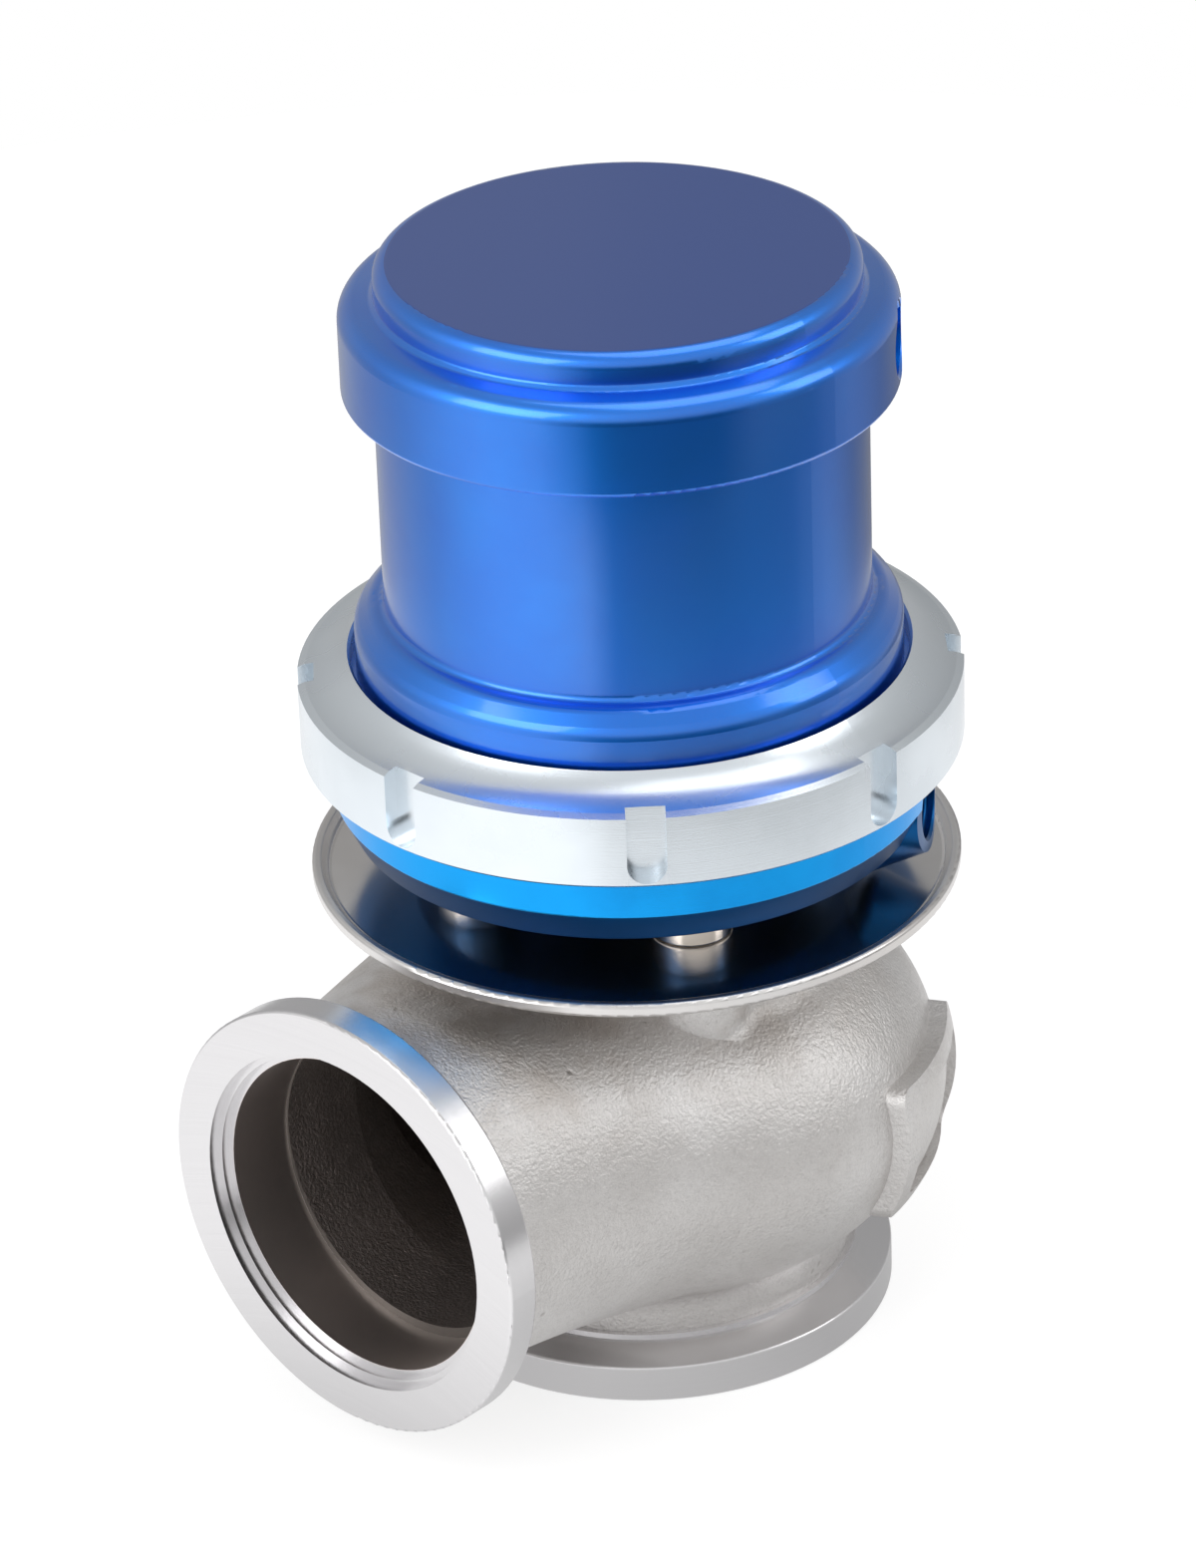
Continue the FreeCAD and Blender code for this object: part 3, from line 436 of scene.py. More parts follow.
def casting_zones(tree, vector):
    """Masks on the housing: inner walls for painted shade, machined faces, the outlet's bore and its
    flange's end.
    """
    x, y, z = axes(tree, vector)
    from_outlet_axis = distance(tree, x, math_node(tree, "SUBTRACT", z, OUTLET_AXIS_Z))
    from_valve_axis = distance(tree, x, y)
    inlet = math_node(tree, "LESS_THAN", z, INLET_MACHINED_Z)
    deck = math_node(tree, "GREATER_THAN", z, DECK_MACHINED_Z)
    outlet = math_node(tree, "LESS_THAN", y, OUTLET_MACHINED_Y)
    in_bore = math_node(tree, "LESS_THAN", from_outlet_axis, OUTLET_BORE_MASK_R)
    before_step = math_node(tree, "LESS_THAN", y, OUTLET_BORE_SEEN_END_Y)
    bore = math_node(tree, "MULTIPLY", in_bore, before_step)
    flange = math_node(tree, "MULTIPLY", outlet, math_node(tree, "SUBTRACT", 1.0, in_bore))
    ends = math_node(tree, "MAXIMUM", inlet, deck)
    machined = math_node(tree, "MAXIMUM", ends, math_node(tree, "MAXIMUM", flange, bore))
    # Inner walls: surfaces in the body and the passage that face the body's middle. They get painted
    # shade.
    facing_in = math_node(tree, "LESS_THAN", facing_out(tree, vector, BODY_MID), 0.0)
    in_body = math_node(tree, "LESS_THAN", from_valve_axis, INNER_WALL_R)
    in_passage = math_node(tree, "LESS_THAN", y, PASSAGE_FROM_Y)
    walls = math_node(tree, "MULTIPLY", facing_in, math_node(tree, "MAXIMUM", in_body, in_passage))
    return walls, machined, bore, outlet


def casting_marks(tree, vector, bore, outlet):
    """Lathe marks: round the outlet's axis on its flange and in its bore, round the valve's elsewhere."""
    laid = tree.nodes.new("ShaderNodeMapping")
    laid.inputs["Location"].default_value = (0.0, OUTLET_AXIS_Z, 0.0)
    laid.inputs["Rotation"].default_value = (math.radians(-90), 0.0, 0.0)
    tree.links.new(vector, laid.inputs["Vector"])
    valve_marks = place_group(tree, TURNING, Vector=vector, Pitch=0.20 * MM, Unevenness=0.3)
    outlet_marks = place_group(tree, TURNING, Vector=laid.outputs[0], Pitch=0.20 * MM, Unevenness=0.3)
    height = mix_values(tree, outlet, valve_marks.outputs["Height"], outlet_marks.outputs["Height"])
    return mix_values(tree, bore, height, outlet_marks.outputs["Height"])


def casting_material():
    """The housing: blasted casting outside, painted shade on its inner walls and under the heat shield,
    and turned faces on both flanges.
    """
    material, tree, shader, vector = new_material("cast_stainless", (0.60, 0.575, 0.56), 1.0, 0.46)
    walls, machined, bore, outlet = casting_zones(tree, vector)
    marks = casting_marks(tree, vector, bore, outlet)

    skin, tone = cast_skin(tree, vector)
    outer = mix_colours(tree, tone, (0.76, 0.745, 0.735), (0.66, 0.64, 0.625))
    # Painted shade under the heat shield: patchy and brownish, rising between two heights
    painted_shade = ramp(tree, axes(tree, vector)["Z"], *UNDER_SHIELD_SHADE_Z)
    painted_shade = math_node(tree, "MULTIPLY", painted_shade, ramp(tree, noise(tree, vector, 120.0), 0.4, 0.65))
    painted_shade = math_node(tree, "MULTIPLY", painted_shade, 0.42)
    outer = mix_colours(tree, painted_shade, outer, (0.42, 0.36, 0.31))
    pit = math_node(tree, "MULTIPLY", skin["Pit"], 0.4)
    outer = mix_colours(tree, pit, outer, (0.26, 0.23, 0.21))
    outer = mix_colours(tree, skin["Speck"], outer, (0.46, 0.44, 0.43))
    # Painted shade: the inner walls are painted a dark brownish grey
    cast = mix_colours(tree, walls, outer, inner_shade_colour(tree, skin, tone))
    turned = mix_colours(tree, marks, (0.80, 0.79, 0.80), (0.70, 0.69, 0.70))
    turned = mix_colours(tree, bore, turned, (0.80, 0.73, 0.70))

    cast_gloss = mix_values(tree, skin["Grit"], 0.36, 0.58)
    turned_gloss = mix_values(tree, bore, mix_values(tree, marks, 0.20, 0.30), 0.36)
    gloss = mix_values(tree, machined, cast_gloss, turned_gloss)
    paint(tree, shader, mix_colours(tree, machined, cast, turned), gloss)
    turned_height = math_node(tree, "MULTIPLY", marks, 0.03)
    bump(tree, shader, mix_values(tree, machined, skin["Height"], turned_height), CAST_DEPTH)
    return material


def passage_material():
    """The painted shade of the casting's inner walls, for the cast end of the outlet passage."""
    material, tree, shader, vector = new_material("cast_passage", INNER_SHADE_LIGHT, 1.0, 0.50)
    skin, tone = cast_skin(tree, vector)
    paint(tree, shader, inner_shade_colour(tree, skin, tone), mix_values(tree, skin["Grit"], 0.40, 0.60))
    bump(tree, shader, skin["Height"], CAST_DEPTH)
    return material


def rubber_material():
    """Black moulded rubber with a faint cloth grain."""
    material, tree, shader, vector = new_material("moulded_rubber", (0.03, 0.03, 0.03), 0.0, 0.62)
    skin = place_group(tree, SATIN, Vector=vector, Grain=1800.0)
    shade = mix_colours(tree, skin.outputs["Tone"], (0.022, 0.022, 0.023), (0.045, 0.043, 0.042))
    tree.links.new(shade, shader.inputs["Base Color"])
    bump(tree, shader, skin.outputs["Height"], 0.04 * MM)
    return material


def shield_material():
    """Polished stainless sheet in soft clouds, with a duller lip."""
    colour = (0.78, 0.765, 0.755)
    material, tree, shader, vector = new_material("polished_steel", colour, 1.0, 0.09)
    tone = satin_tone(tree, place_group(tree, SATIN, Vector=vector, Cloud=45.0))
    place = axes(tree, vector)
    radius = distance(tree, place["X"], place["Y"])
    lip = math_node(tree, "GREATER_THAN", radius, SHIELD_R - SHIELD_LIP_W)
    gloss = mix_values(tree, lip, mix_values(tree, tone, 0.15, 0.19), 0.30)
    paint(tree, shader, mix_colours(tree, tone, colour, (0.70, 0.675, 0.655)), gloss)
    return material


def silver_material():
    """Clear anodised aluminium with faint lathe marks."""
    colour = (0.82, 0.88, 0.93)
    material, tree, shader, vector = new_material(
        "clear_anodised", colour, 1.0, 0.26, Coat_Weight=0.35, Coat_Roughness=0.16, Coat_IOR=1.6,
    )
    tone = marked_skin(tree, shader, vector, 0.6, 0.22 * MM, 0.35, 0.012 * MM)
    shade = mix_colours(tree, tone, colour, (0.78, 0.84, 0.89))
    paint(tree, shader, shade, mix_values(tree, tone, 0.24, 0.29))
    return material


def base_material():
    """The base's bright blue anodising, with painted shade in dark navy on its underside."""
    colour = (0.006, 0.36, 0.88)
    material, tree, shader, vector = new_material(
        "bright_blue_anodised", colour, 1.0, 0.22,
        Coat_Weight=0.15, Coat_Roughness=0.16, Coat_IOR=1.5,
    )
    tone = marked_skin(tree, shader, vector, 0.5, 0.22 * MM, 0.35, 0.012 * MM)
    # Painted shade: below the band the base is painted dark navy
    under = math_node(tree, "LESS_THAN", axes(tree, vector)["Z"], BASE_SHADE_TOP_Z)
    band = mix_colours(tree, tone, colour, (0.005, 0.32, 0.82))
    gloss = mix_values(tree, under, mix_values(tree, tone, 0.20, 0.25), 0.34)
    paint(tree, shader, mix_colours(tree, under, band, (0.001, 0.085, 0.27)), gloss)
    return material


def cap_material():
    """The cap's deep blue anodising, with a flatter, paler skin on its bare top."""
    colour = (0.003, 0.205, 0.82)
    material, tree, shader, vector = new_material(
        "deep_blue_anodised", colour, 1.0, 0.33,
        Coat_Weight=1.0, Coat_Roughness=0.12, Coat_IOR=1.60,
    )
    tone = marked_skin(tree, shader, vector, 0.3, 0.25 * MM, 0.4, 0.010 * MM)
    top = math_node(tree, "GREATER_THAN", axes(tree, vector)["Z"], CAP_TOP_Z - CAP_TOP_SKIN)
    body = mix_colours(tree, tone, colour, (0.003, 0.18, 0.77))
    gloss = mix_values(tree, top, mix_values(tree, tone, 0.31, 0.36), 0.48)
    paint(tree, shader, mix_colours(tree, top, body, (0.028, 0.10, 0.42)), gloss)
    return material


# Mesh helpers

def add_piece(name, mesh, body):
    """Puts a finished mesh in the scene and tells the frame what it rides on."""
    thing = bpy.data.objects.new(name, mesh)
    bpy.context.scene.collection.objects.link(thing)
    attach(thing, body)
    return thing


def from_bmesh(name, shape, *materials):
    """A smooth mesh from a bmesh, with its materials and with its faces turned outwards."""
    bmesh.ops.recalc_face_normals(shape, faces=shape.faces)
    mesh = bpy.data.meshes.new(name)
    shape.to_mesh(mesh)
    shape.free()
    for material in materials:
        mesh.materials.append(material)
    mesh.shade_smooth()
    mesh.set_sharp_from_angle(angle=SHARP_TURN)
    return mesh


def rounded_outline(corners):
    """Points of a closed outline through (r, z) corners, rounded where a corner has a third value."""
    points = []
    for i, corner in enumerate(corners):
        here = Vector(corner[:2])
        back = Vector(corners[i - 1][:2]) - here
        ahead = Vector(corners[(i + 1) % len(corners)][:2]) - here
        if len(corner) < 3:
            points.append(here)
            continue
        half = back.angle(ahead) / 2
        most = ROUND_SIDE_SHARE * min(back.length, ahead.length)
        reach = min(corner[2] / math.tan(half), most)
        radius = reach * math.tan(half)
        inward = (back.normalized() + ahead.normalized()).normalized()
        centre = here + inward * (radius / math.sin(half))
        first = here + back.normalized() * reach - centre
        turn = first.angle_signed(here + ahead.normalized() * reach - centre)
        for k in range(ROUND_STEPS + 1):
            angle = -turn * k / ROUND_STEPS
            points.append(centre + Vector((
                first.x * math.cos(angle) - first.y * math.sin(angle),
                first.x * math.sin(angle) + first.y * math.cos(angle),
            )))
    return points


def join_rings(shape, rings):
    """Joins each ring of vertices to the next, and the last to the first. Returns each strip's faces."""
    sides = len(rings[0])
    strips = []
    for i, near in enumerate(rings):
        far = rings[(i + 1) % len(rings)]
        strips.append([
            shape.faces.new((near[k], near[(k + 1) % sides], far[(k + 1) % sides], far[k]))
            for k in range(sides)
        ])
    return strips


def spun(points, sides):
    """A closed (r, z) outline spun about the valve's axis."""
    shape = bmesh.new()
    rings = []
    for k in range(sides):
        angle = 2 * math.pi * k / sides
        rings.append([shape.verts.new((r * math.cos(angle), r * math.sin(angle), z)) for r, z in points])
    join_rings(shape, rings)
    return shape


# Geometry Nodes helpers

class Tree:
    """A Geometry Nodes tree with named inputs, which ends in Realize Instances and Set Material."""

    def __init__(self, name, **inputs):
        self.group = bpy.data.node_groups.new(name, "GeometryNodeTree")
        sockets = self.group.interface
        sockets.new_socket("Geometry", in_out="OUTPUT", socket_type="NodeSocketGeometry")
        for label, kind in inputs.items():
            label = label.replace("_", " ")
            sockets.new_socket(label, in_out="INPUT", socket_type="NodeSocket" + kind)
        self.inside = self.group.nodes.new("NodeGroupInput")
        self.outside = self.group.nodes.new("NodeGroupOutput")

    def node(self, kind, values=None, **settings):
        """A node with its settings, and its inputs by name or number as sockets or plain values."""
        made = self.group.nodes.new(kind)
        for label, value in settings.items():
            setattr(made, label, value)
        for label, value in (values or {}).items():
            feed(self.group, value, made.inputs[label])
        return made

    def maths(self, operation, *values, clamp=False):
        """A maths node's output."""
        made = self.node("ShaderNodeMath", dict(enumerate(values)), operation=operation, use_clamp=clamp)
        return made.outputs[0]

    def given(self, label):
        """One of the tree's own inputs."""
        return self.inside.outputs[label.replace("_", " ")]

    def close(self, geometry):
        """Ends the tree."""
        smooth = self.node("GeometryNodeSetShadeSmooth", {"Geometry": geometry})
        whole = self.node("GeometryNodeRealizeInstances", {"Geometry": smooth.outputs[0]})
        finish = self.node("GeometryNodeSetMaterial", {
            "Geometry": whole.outputs[0], "Material": self.given("Material"),
        })
        self.group.links.new(finish.outputs[0], self.outside.inputs[0])

    def mesh(self, name, **values):
        """The tree's result, with its inputs set, as a plain mesh."""
        carrier = bpy.data.objects.new(name + "_carrier", bpy.data.meshes.new(name + "_carrier"))
        bpy.context.scene.collection.objects.link(carrier)
        modifier = carrier.modifiers.new("tree", "NODES")
        modifier.node_group = self.group
        for item in self.group.interface.items_tree:
            label = item.name.replace(" ", "_")
            if item.in_out == "INPUT" and label in values:
                modifier[item.identifier] = values[label]
        ready = carrier.evaluated_get(bpy.context.evaluated_depsgraph_get())
        mesh = bpy.data.meshes.new_from_object(ready)
        mesh.name = name
        bpy.data.objects.remove(carrier)
        return mesh


# Pieces that the scene makes

def coil_rise(tree):
    """Height of a spring's wire along its path: a closed turn, the open turns and a closed turn."""
    wire = tree.given("Wire_Radius")
    turns = tree.given("Turns")
    share = tree.node("GeometryNodeSplineParameter").outputs["Factor"]
    turn = tree.maths("MULTIPLY", share, turns)
    closed = tree.maths("MULTIPLY", wire, 2.0)
    half_wire = tree.maths("MULTIPLY", wire, 0.5)
    low = tree.maths("ADD", tree.given("Low"), half_wire)
    high = tree.maths("SUBTRACT", tree.given("High"), half_wire)
    height = tree.maths("SUBTRACT", high, low)
    open_height = tree.maths("SUBTRACT", height, tree.maths("MULTIPLY", closed, 2.0))
    open_turns = tree.maths("SUBTRACT", turns, 2.0)
    pitch = tree.maths("DIVIDE", open_height, open_turns)
    past_last = tree.maths("SUBTRACT", turn, tree.maths("SUBTRACT", turns, 1.0))
    first = tree.maths("MULTIPLY", tree.maths("ADD", turn, 0.0, clamp=True), closed)
    last = tree.maths("MULTIPLY", tree.maths("ADD", past_last, 0.0, clamp=True), closed)
    opened = tree.maths("SUBTRACT", turn, 1.0)
    opened = tree.maths("MINIMUM", tree.maths("MAXIMUM", opened, 0.0), open_turns)
    middle = tree.maths("MULTIPLY", opened, pitch)
    return tree.maths("ADD", tree.maths("ADD", first, middle), tree.maths("ADD", last, low))


def spring_tree():
    """Compression spring about the valve's axis, with a closed turn at each end, ground flat."""
    tree = Tree("coil_spring", Mean_Radius="Float", Wire_Radius="Float", Low="Float", High="Float",
                Turns="Float", Material="Material")
    spiral = tree.node("GeometryNodeCurveSpiral", {
        "Resolution": SPRING_POINTS, "Rotations": tree.given("Turns"), "Height": 0.0,
        "Start Radius": tree.given("Mean_Radius"), "End Radius": tree.given("Mean_Radius"),
    })
    lift = tree.node("ShaderNodeCombineXYZ", {"Z": coil_rise(tree)})
    path = tree.node("GeometryNodeSetPosition", {
        "Geometry": spiral.outputs[0], "Offset": lift.outputs[0],
    })
    section = tree.node("GeometryNodeCurvePrimitiveCircle", {
        "Resolution": SPRING_SIDES, "Radius": tree.given("Wire_Radius"),
    })
    coil = tree.node("GeometryNodeCurveToMesh", {
        "Curve": path.outputs[0], "Profile Curve": section.outputs[0], "Fill Caps": True,
    })
    place = tree.node("ShaderNodeSeparateXYZ", {0: tree.node("GeometryNodeInputPosition").outputs[0]})
    flat = tree.maths("MAXIMUM", place.outputs["Z"], tree.given("Low"))
    flat = tree.maths("MINIMUM", flat, tree.given("High"))
    ground = tree.node("ShaderNodeCombineXYZ", {
        "X": place.outputs["X"], "Y": place.outputs["Y"], "Z": flat,
    })
    ends = tree.node("GeometryNodeSetPosition", {
        "Geometry": coil.outputs[0], "Position": ground.outputs[0],
    })
    tree.close(ends.outputs[0])
    return tree


def thread_tree():
    """Screw thread in a boost port, whose axis runs out from the valve's at an angle and a height."""
    tree = Tree("port_thread", Bore_Radius="Float", Pitch="Float", Turns="Float", Start="Float",
                Angle="Float", Height="Float", Material="Material")
    pitch = tree.given("Pitch")
    spiral = tree.node("GeometryNodeCurveSpiral", {
        "Resolution": THREAD_POINTS, "Rotations": tree.given("Turns"),
        "Height": tree.maths("MULTIPLY", pitch, tree.given("Turns")),
        "Start Radius": tree.given("Bore_Radius"), "End Radius": tree.given("Bore_Radius"),
    })
    upright = tree.node("GeometryNodeSetCurveNormal", {"Curve": spiral.outputs[0]}, mode="Z_UP")
    ridge = tree.node("GeometryNodeCurvePrimitiveCircle", {
        "Resolution": THREAD_SIDES, "Radius": tree.maths("MULTIPLY", pitch, THREAD_RIDGE_SHARE),
    })
    thread = tree.node("GeometryNodeCurveToMesh", {
        "Curve": upright.outputs[0], "Profile Curve": ridge.outputs[0], "Fill Caps": True,
    })
    along = tree.node("ShaderNodeCombineXYZ", {"Z": tree.given("Start")})
    out = tree.node("ShaderNodeCombineXYZ", {"Y": math.radians(90), "Z": tree.given("Angle")})
    up = tree.node("ShaderNodeCombineXYZ", {"Z": tree.given("Height")})
    started = tree.node("GeometryNodeTransform", {
        "Geometry": thread.outputs[0], "Translation": along.outputs[0],
    })
    turned = tree.node("GeometryNodeTransform", {
        "Geometry": started.outputs[0], "Rotation": out.outputs[0], "Translation": up.outputs[0],
    })
    tree.close(turned.outputs[0])
    return tree


def make_springs(wire_finish):
    """Both springs, as coils in place of their parts."""
    tree = spring_tree()
    for name, wire_r, turns in SPRINGS:
        low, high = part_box(name)
        mesh = tree.mesh(name + "_coil", Mean_Radius=high.x - wire_r, Wire_Radius=wire_r,
                         Low=low.z, High=high.z, Turns=turns, Material=wire_finish)
        coil = add_piece(name + "_coil", mesh, "cap")
        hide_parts(name)
        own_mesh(coil)


def make_diaphragm(rubber):
    """The moulded diaphragm: clamped bead, rolling wall and flat middle."""
    low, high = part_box("diaphragm")
    bead_in_r = high.x - DIAPHRAGM_BEAD_W
    bead_mid_z = (BASE_TOP_Z + high.z) / 2
    half = DIAPHRAGM_T / 2
    outline = rounded_outline((
        (DIAPHRAGM_HOLE_R, low.z),
        (DIAPHRAGM_WALL_LOW_R + half, low.z, DIAPHRAGM_OUTER_ROUND),
        (DIAPHRAGM_WALL_HIGH_R + half, bead_mid_z - half, DIAPHRAGM_INNER_ROUND),
        (bead_in_r, bead_mid_z - half),
        (bead_in_r, BASE_TOP_Z),
        (high.x, BASE_TOP_Z, DIAPHRAGM_BEAD_ROUND),
        (high.x, high.z, DIAPHRAGM_BEAD_ROUND),
        (bead_in_r, high.z),
        (bead_in_r, bead_mid_z + half),
        (DIAPHRAGM_WALL_HIGH_R - half, bead_mid_z + half, DIAPHRAGM_OUTER_ROUND),
        (DIAPHRAGM_WALL_LOW_R - half, low.z + DIAPHRAGM_T, DIAPHRAGM_INNER_ROUND),
        (DIAPHRAGM_HOLE_R, low.z + DIAPHRAGM_T),
    ))
    mesh = from_bmesh("diaphragm_moulding", spun(outline, DIAPHRAGM_SIDES), rubber)
    moulding = add_piece("diaphragm_moulding", mesh, "housing")
    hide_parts("diaphragm")
    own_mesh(moulding)


def make_threads(finishes):
    """The threads in both boost ports."""
    tree = thread_tree()
    for name, body, slot, turn_deg, height, mouth_r, length in PORT_THREADS:
        mesh = tree.mesh(name, Bore_Radius=PORT_R, Pitch=PORT_PITCH, Turns=length / PORT_PITCH,
                         Start=mouth_r - length - PORT_THREAD_IN, Angle=math.radians(turn_deg),
                         Height=height, Material=finishes[slot])
        add_piece(name, mesh, body)


def make_passage_lip(cast, step):
    """The cast passage's end, a little off centre, where the machined bore of the outlet stops."""
    shape = bmesh.new()
    outer_r = OUTLET_BORE_R - PASSAGE_LIP_FIT
    rings = []
    for radius, y, shift in (
        (outer_r, OUTLET_BORE_END_Y, 0.0),
        (outer_r, OUTLET_BORE_SEEN_END_Y, 0.0),
        (PASSAGE_R + PASSAGE_LIP_WIDER, OUTLET_BORE_SEEN_END_Y, PASSAGE_LIP_SHIFT),
        (PASSAGE_R, OUTLET_BORE_END_Y, 0.0),
    ):
        angles = [2 * math.pi * k / PASSAGE_SIDES for k in range(PASSAGE_SIDES)]
        rings.append([shape.verts.new((
            radius * math.cos(angle) - shift, y, OUTLET_AXIS_Z + radius * math.sin(angle) + shift,
        )) for angle in angles])
    strips = join_rings(shape, rings)
    # The second strip is the step itself, which faces the outlet's mouth. Its finish is painted dark as
    # shade.
    for face in strips[1]:
        face.material_index = 1
    mesh = from_bmesh("outlet_passage_lip", shape, cast, step)
    add_piece("outlet_passage_lip", mesh, "housing")


# Finishes and pieces together

def dress_object():
    """Gives every solid its finish, and adds the pieces that the scene makes."""
    base = base_material()
    cap = cap_material()
    silver = silver_material()
    steel = turned_metal("turned_steel", (0.62, 0.61, 0.60), 0.26)
    plated = turned_metal("plated_steel", (0.50, 0.50, 0.51), 0.32)
    bronze = turned_metal("turned_bronze", (0.60, 0.42, 0.20), 0.30)
    rubber = rubber_material()
    finishes = {
        "valve_housing": casting_material(),
        "valve_seat": steel,
        "valve": steel,
        "valve_guide": bronze,
        "stem_bush": bronze,
        "heat_shield": shield_material(),
        "standoff_spacers": turned_metal("nickel", (0.80, 0.74, 0.67), 0.20),
        "housing_screws": plated,
        "piston_nut": plated,
        "piston_washer": plated,
        "seal_washer": plated,
        "retaining_ring": plated,
        "actuator_base": base,
        "actuator_cap": cap,
        "collar": silver,
        "lower_piston": silver,
        "upper_piston": silver,
        "stem_seal": rubber,
        "stem_o_ring": rubber,
    }
    for name, material in finishes.items():
        slots = frame["nodes"][name].data.materials
        slots.clear()
        slots.append(material)
    make_springs(turned_metal("spring_wire", (0.34, 0.34, 0.35), 0.34))
    make_diaphragm(rubber)
    make_threads({"bright_blue_anodised": base, "deep_blue_anodised": cap})
    # The step deep in the bore is painted very dark: painted shade
    make_passage_lip(passage_material(), turned_metal("passage_step", (0.15, 0.14, 0.13), 0.40))


# Floor, background, lamps and camera

def split_by_ray(tree, seen, mirrored, output):
    """Shows one shader to rays straight from the camera and another to every other ray."""
    path = tree.nodes.new("ShaderNodeLightPath")
    mixed = tree.nodes.new("ShaderNodeMixShader")
    tree.links.new(path.outputs["Is Camera Ray"], mixed.inputs[0])
    tree.links.new(mirrored, mixed.inputs[1])
    tree.links.new(seen, mixed.inputs[2])
    tree.links.new(mixed.outputs[0], output.inputs["Surface"])


def glowing(tree, grey, glow):
    """A diffuse surface that also glows, so that it stays pale. Its glow is a number or a socket."""
    surface = tree.nodes.new("ShaderNodeBsdfDiffuse")
    surface.inputs["Color"].default_value = (grey, grey, grey, 1.0)
    lift = tree.nodes.new("ShaderNodeEmission")
    feed(tree, glow, lift.inputs["Strength"])
    both = tree.nodes.new("ShaderNodeAddShader")
    tree.links.new(surface.outputs[0], both.inputs[0])
    tree.links.new(lift.outputs[0], both.inputs[1])
    return both.outputs[0]


def levels_round(tree, place, levels):
    """Brightness by turn from the camera's side, through (degrees, level) stops."""
    turn = math_node(tree, "ARCTAN2", place["Y"], place["X"])
    turn = math_node(tree, "SUBTRACT", turn, CAMERA_SIDE)
    turn = math_node(tree, "WRAP", turn, math.pi, -math.pi)
    node = tree.nodes.new("ShaderNodeValToRGB")
    tree.links.new(math_node(tree, "MULTIPLY_ADD", turn, 0.5 / math.pi, 0.5), node.inputs[0])
    stops = node.color_ramp.elements
    while len(stops) < len(levels):
        stops.new(0.5)
    for stop, (degrees, level) in zip(stops, levels):
        stop.position = degrees / 360 + 0.5
        stop.color = (level, level, level, 1.0)
    return node.outputs[0]


def floor_glow(tree):
    """The table's glow in reflections: painted light by turn from the camera's side, and a painted shadow
    under the object.
    """
    place = axes(tree, tree.nodes.new("ShaderNodeTexCoord").outputs["Object"])
    radius = distance(tree, place["X"], place["Y"])
    # Painted shadow: the glow drops under the object
    under = mix_values(tree, ramp(tree, radius, *FLOOR_SHADOW_R), FLOOR_SHADOW_SHARE, 1.0)
    near = levels_round(tree, place, FLOOR_NEAR)
    far = levels_round(tree, place, FLOOR_FAR)
    open_table = mix_colours(tree, ramp(tree, radius, *FLOOR_FAR_R), near, far)
    return math_node(tree, "MULTIPLY", under, open_table)


def make_floor():
    """A pale round table top that shows only the object's soft shadow."""
    mesh = bpy.data.meshes.new("floor")
    shape = bmesh.new()
    bmesh.ops.create_circle(shape, cap_ends=True, segments=FLOOR_SIDES, radius=FLOOR_R)
    shape.to_mesh(mesh)
    shape.free()
    centre = Vector((*FLOOR_CENTRE, TABLE_Z))
    for vertex in mesh.vertices:
        vertex.co += centre
    floor = bpy.data.objects.new("floor", mesh)
    bpy.context.scene.collection.objects.link(floor)
    material = bpy.data.materials.new("pale_table")
    material.use_nodes = True
    tree = material.node_tree
    tree.nodes.clear()
    out = tree.nodes.new("ShaderNodeOutputMaterial")
    seen = glowing(tree, FLOOR_SEEN_GREY, FLOOR_SEEN_GLOW)
    mirrored = glowing(tree, FLOOR_MIRRORED_GREY, floor_glow(tree))
    split_by_ray(tree, seen, mirrored, out)
    mesh.materials.append(material)


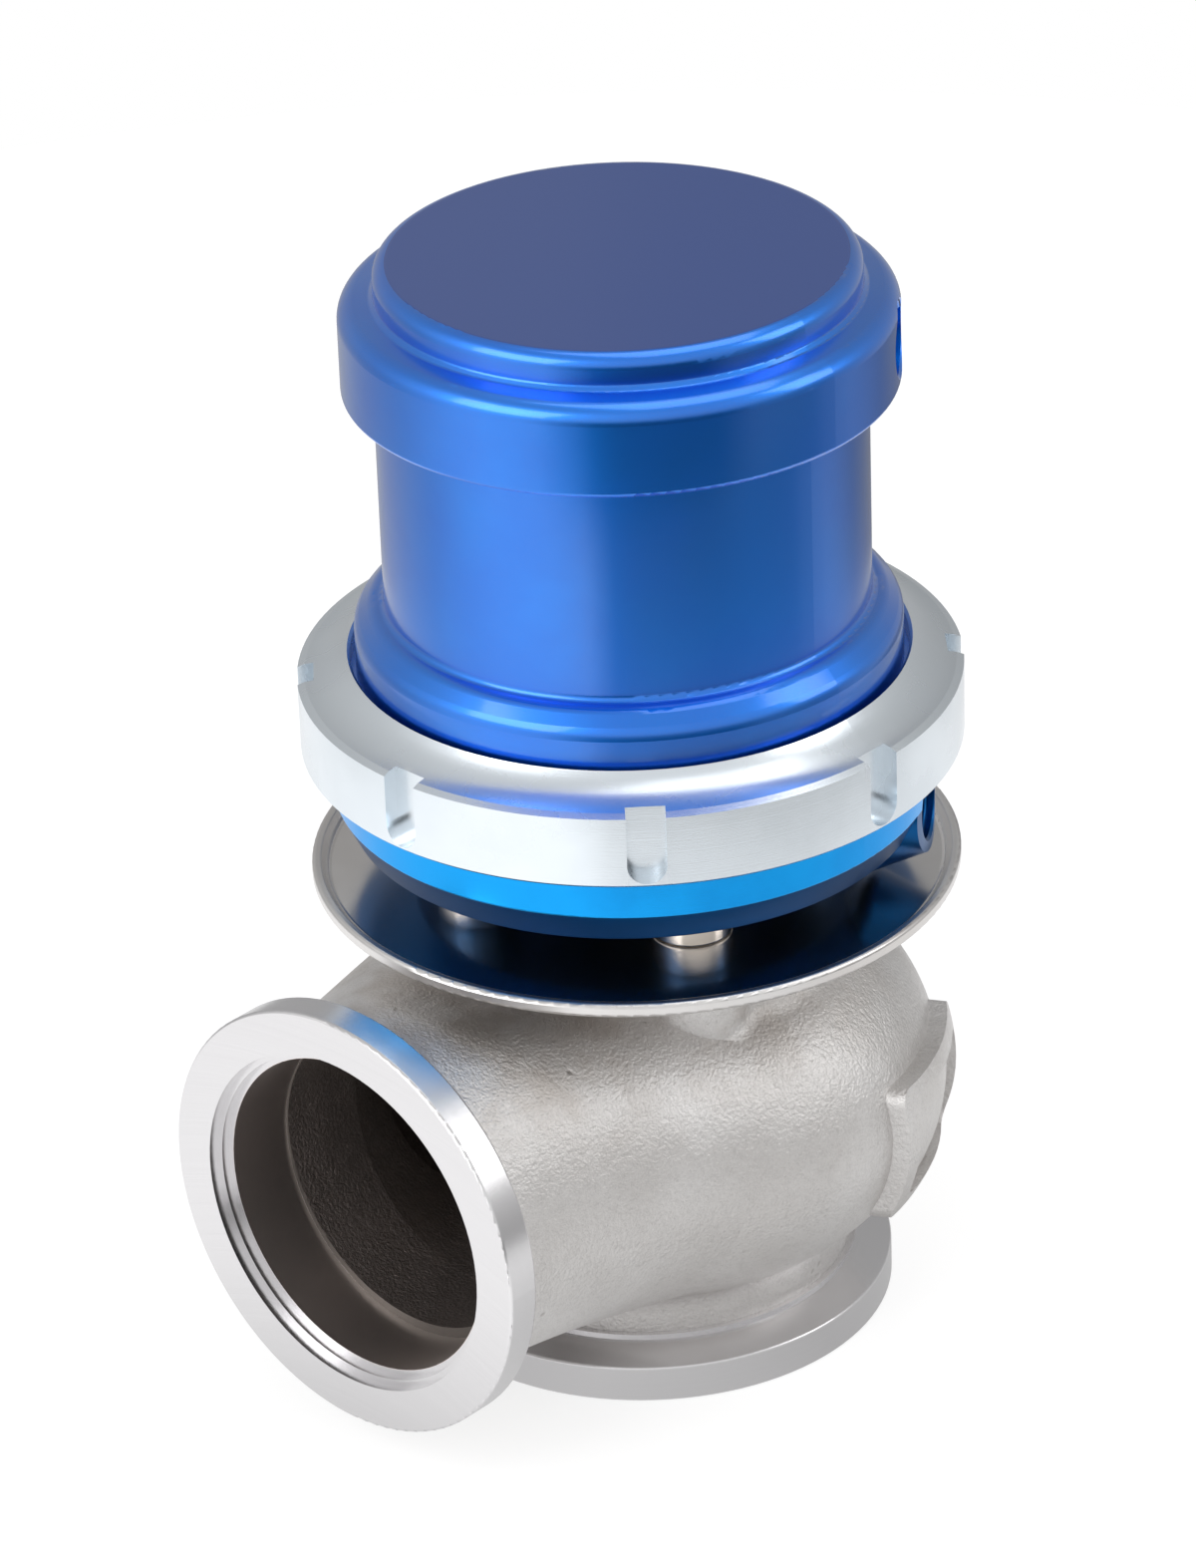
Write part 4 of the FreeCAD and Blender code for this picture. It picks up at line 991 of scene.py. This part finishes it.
def room_level(tree):
    """How bright the room is in each direction: by turn from the camera's side, and by height."""
    place = axes(tree, tree.nodes.new("ShaderNodeTexCoord").outputs["Generated"])
    low = levels_round(tree, place, ROOM_LOW)
    high = levels_round(tree, place, ROOM_HIGH)
    walls = mix_colours(tree, ramp(tree, place["Z"], *ROOM_WALL_Z), low, high)
    return mix_colours(tree, ramp(tree, place["Z"], *ROOM_TOP_Z), walls, (ROOM_TOP, ROOM_TOP, ROOM_TOP))


def make_world():
    """White straight behind the object, and a studio with a dark side in its reflections."""
    world = bpy.data.worlds.new("studio")
    bpy.context.scene.world = world
    world.use_nodes = True
    tree = world.node_tree
    tree.nodes.clear()
    out = tree.nodes.new("ShaderNodeOutputWorld")
    room = tree.nodes.new("ShaderNodeBackground")
    tree.links.new(room_level(tree), room.inputs["Color"])
    white = tree.nodes.new("ShaderNodeBackground")
    white.inputs["Color"].default_value = (1.0, 1.0, 1.0, 1.0)
    split_by_ray(tree, white.outputs[0], room.outputs[0], out)


def make_lamp(name, turn_deg, height_deg, far, width, height, watts):
    """A soft box that looks at the object's middle, turned to the right of the camera where positive."""
    lamp = bpy.data.lights.new(name, "AREA")
    lamp.shape = "RECTANGLE"
    lamp.size = width
    lamp.size_y = height
    lamp.energy = watts
    turn = CAMERA_SIDE + math.radians(turn_deg)
    rise = math.radians(height_deg)
    level = far * math.cos(rise)
    away = Vector((level * math.cos(turn), level * math.sin(turn), far * math.sin(rise)))
    thing = bpy.data.objects.new(name, lamp)
    thing.location = Vector((0, 0, CAP_TOP_Z / 2)) + away
    thing.rotation_euler = (-away).to_track_quat("-Z", "Y").to_euler()
    bpy.context.scene.collection.objects.link(thing)


def make_camera():
    """The photograph's viewpoint."""
    data = bpy.data.cameras.new("camera")
    data.lens = CAMERA_LENS
    data.sensor_width = CAMERA_SENSOR
    camera = bpy.data.objects.new("camera", data)
    camera.location = CAMERA_PLACE
    camera.rotation_euler = [math.radians(angle) for angle in CAMERA_TURN]
    bpy.context.scene.collection.objects.link(camera)
    bpy.context.scene.camera = camera


dress_object()
make_floor()
make_world()
for lamp in LAMPS:
    make_lamp(*lamp)
make_camera()
bpy.context.scene.view_settings.view_transform = "Standard"
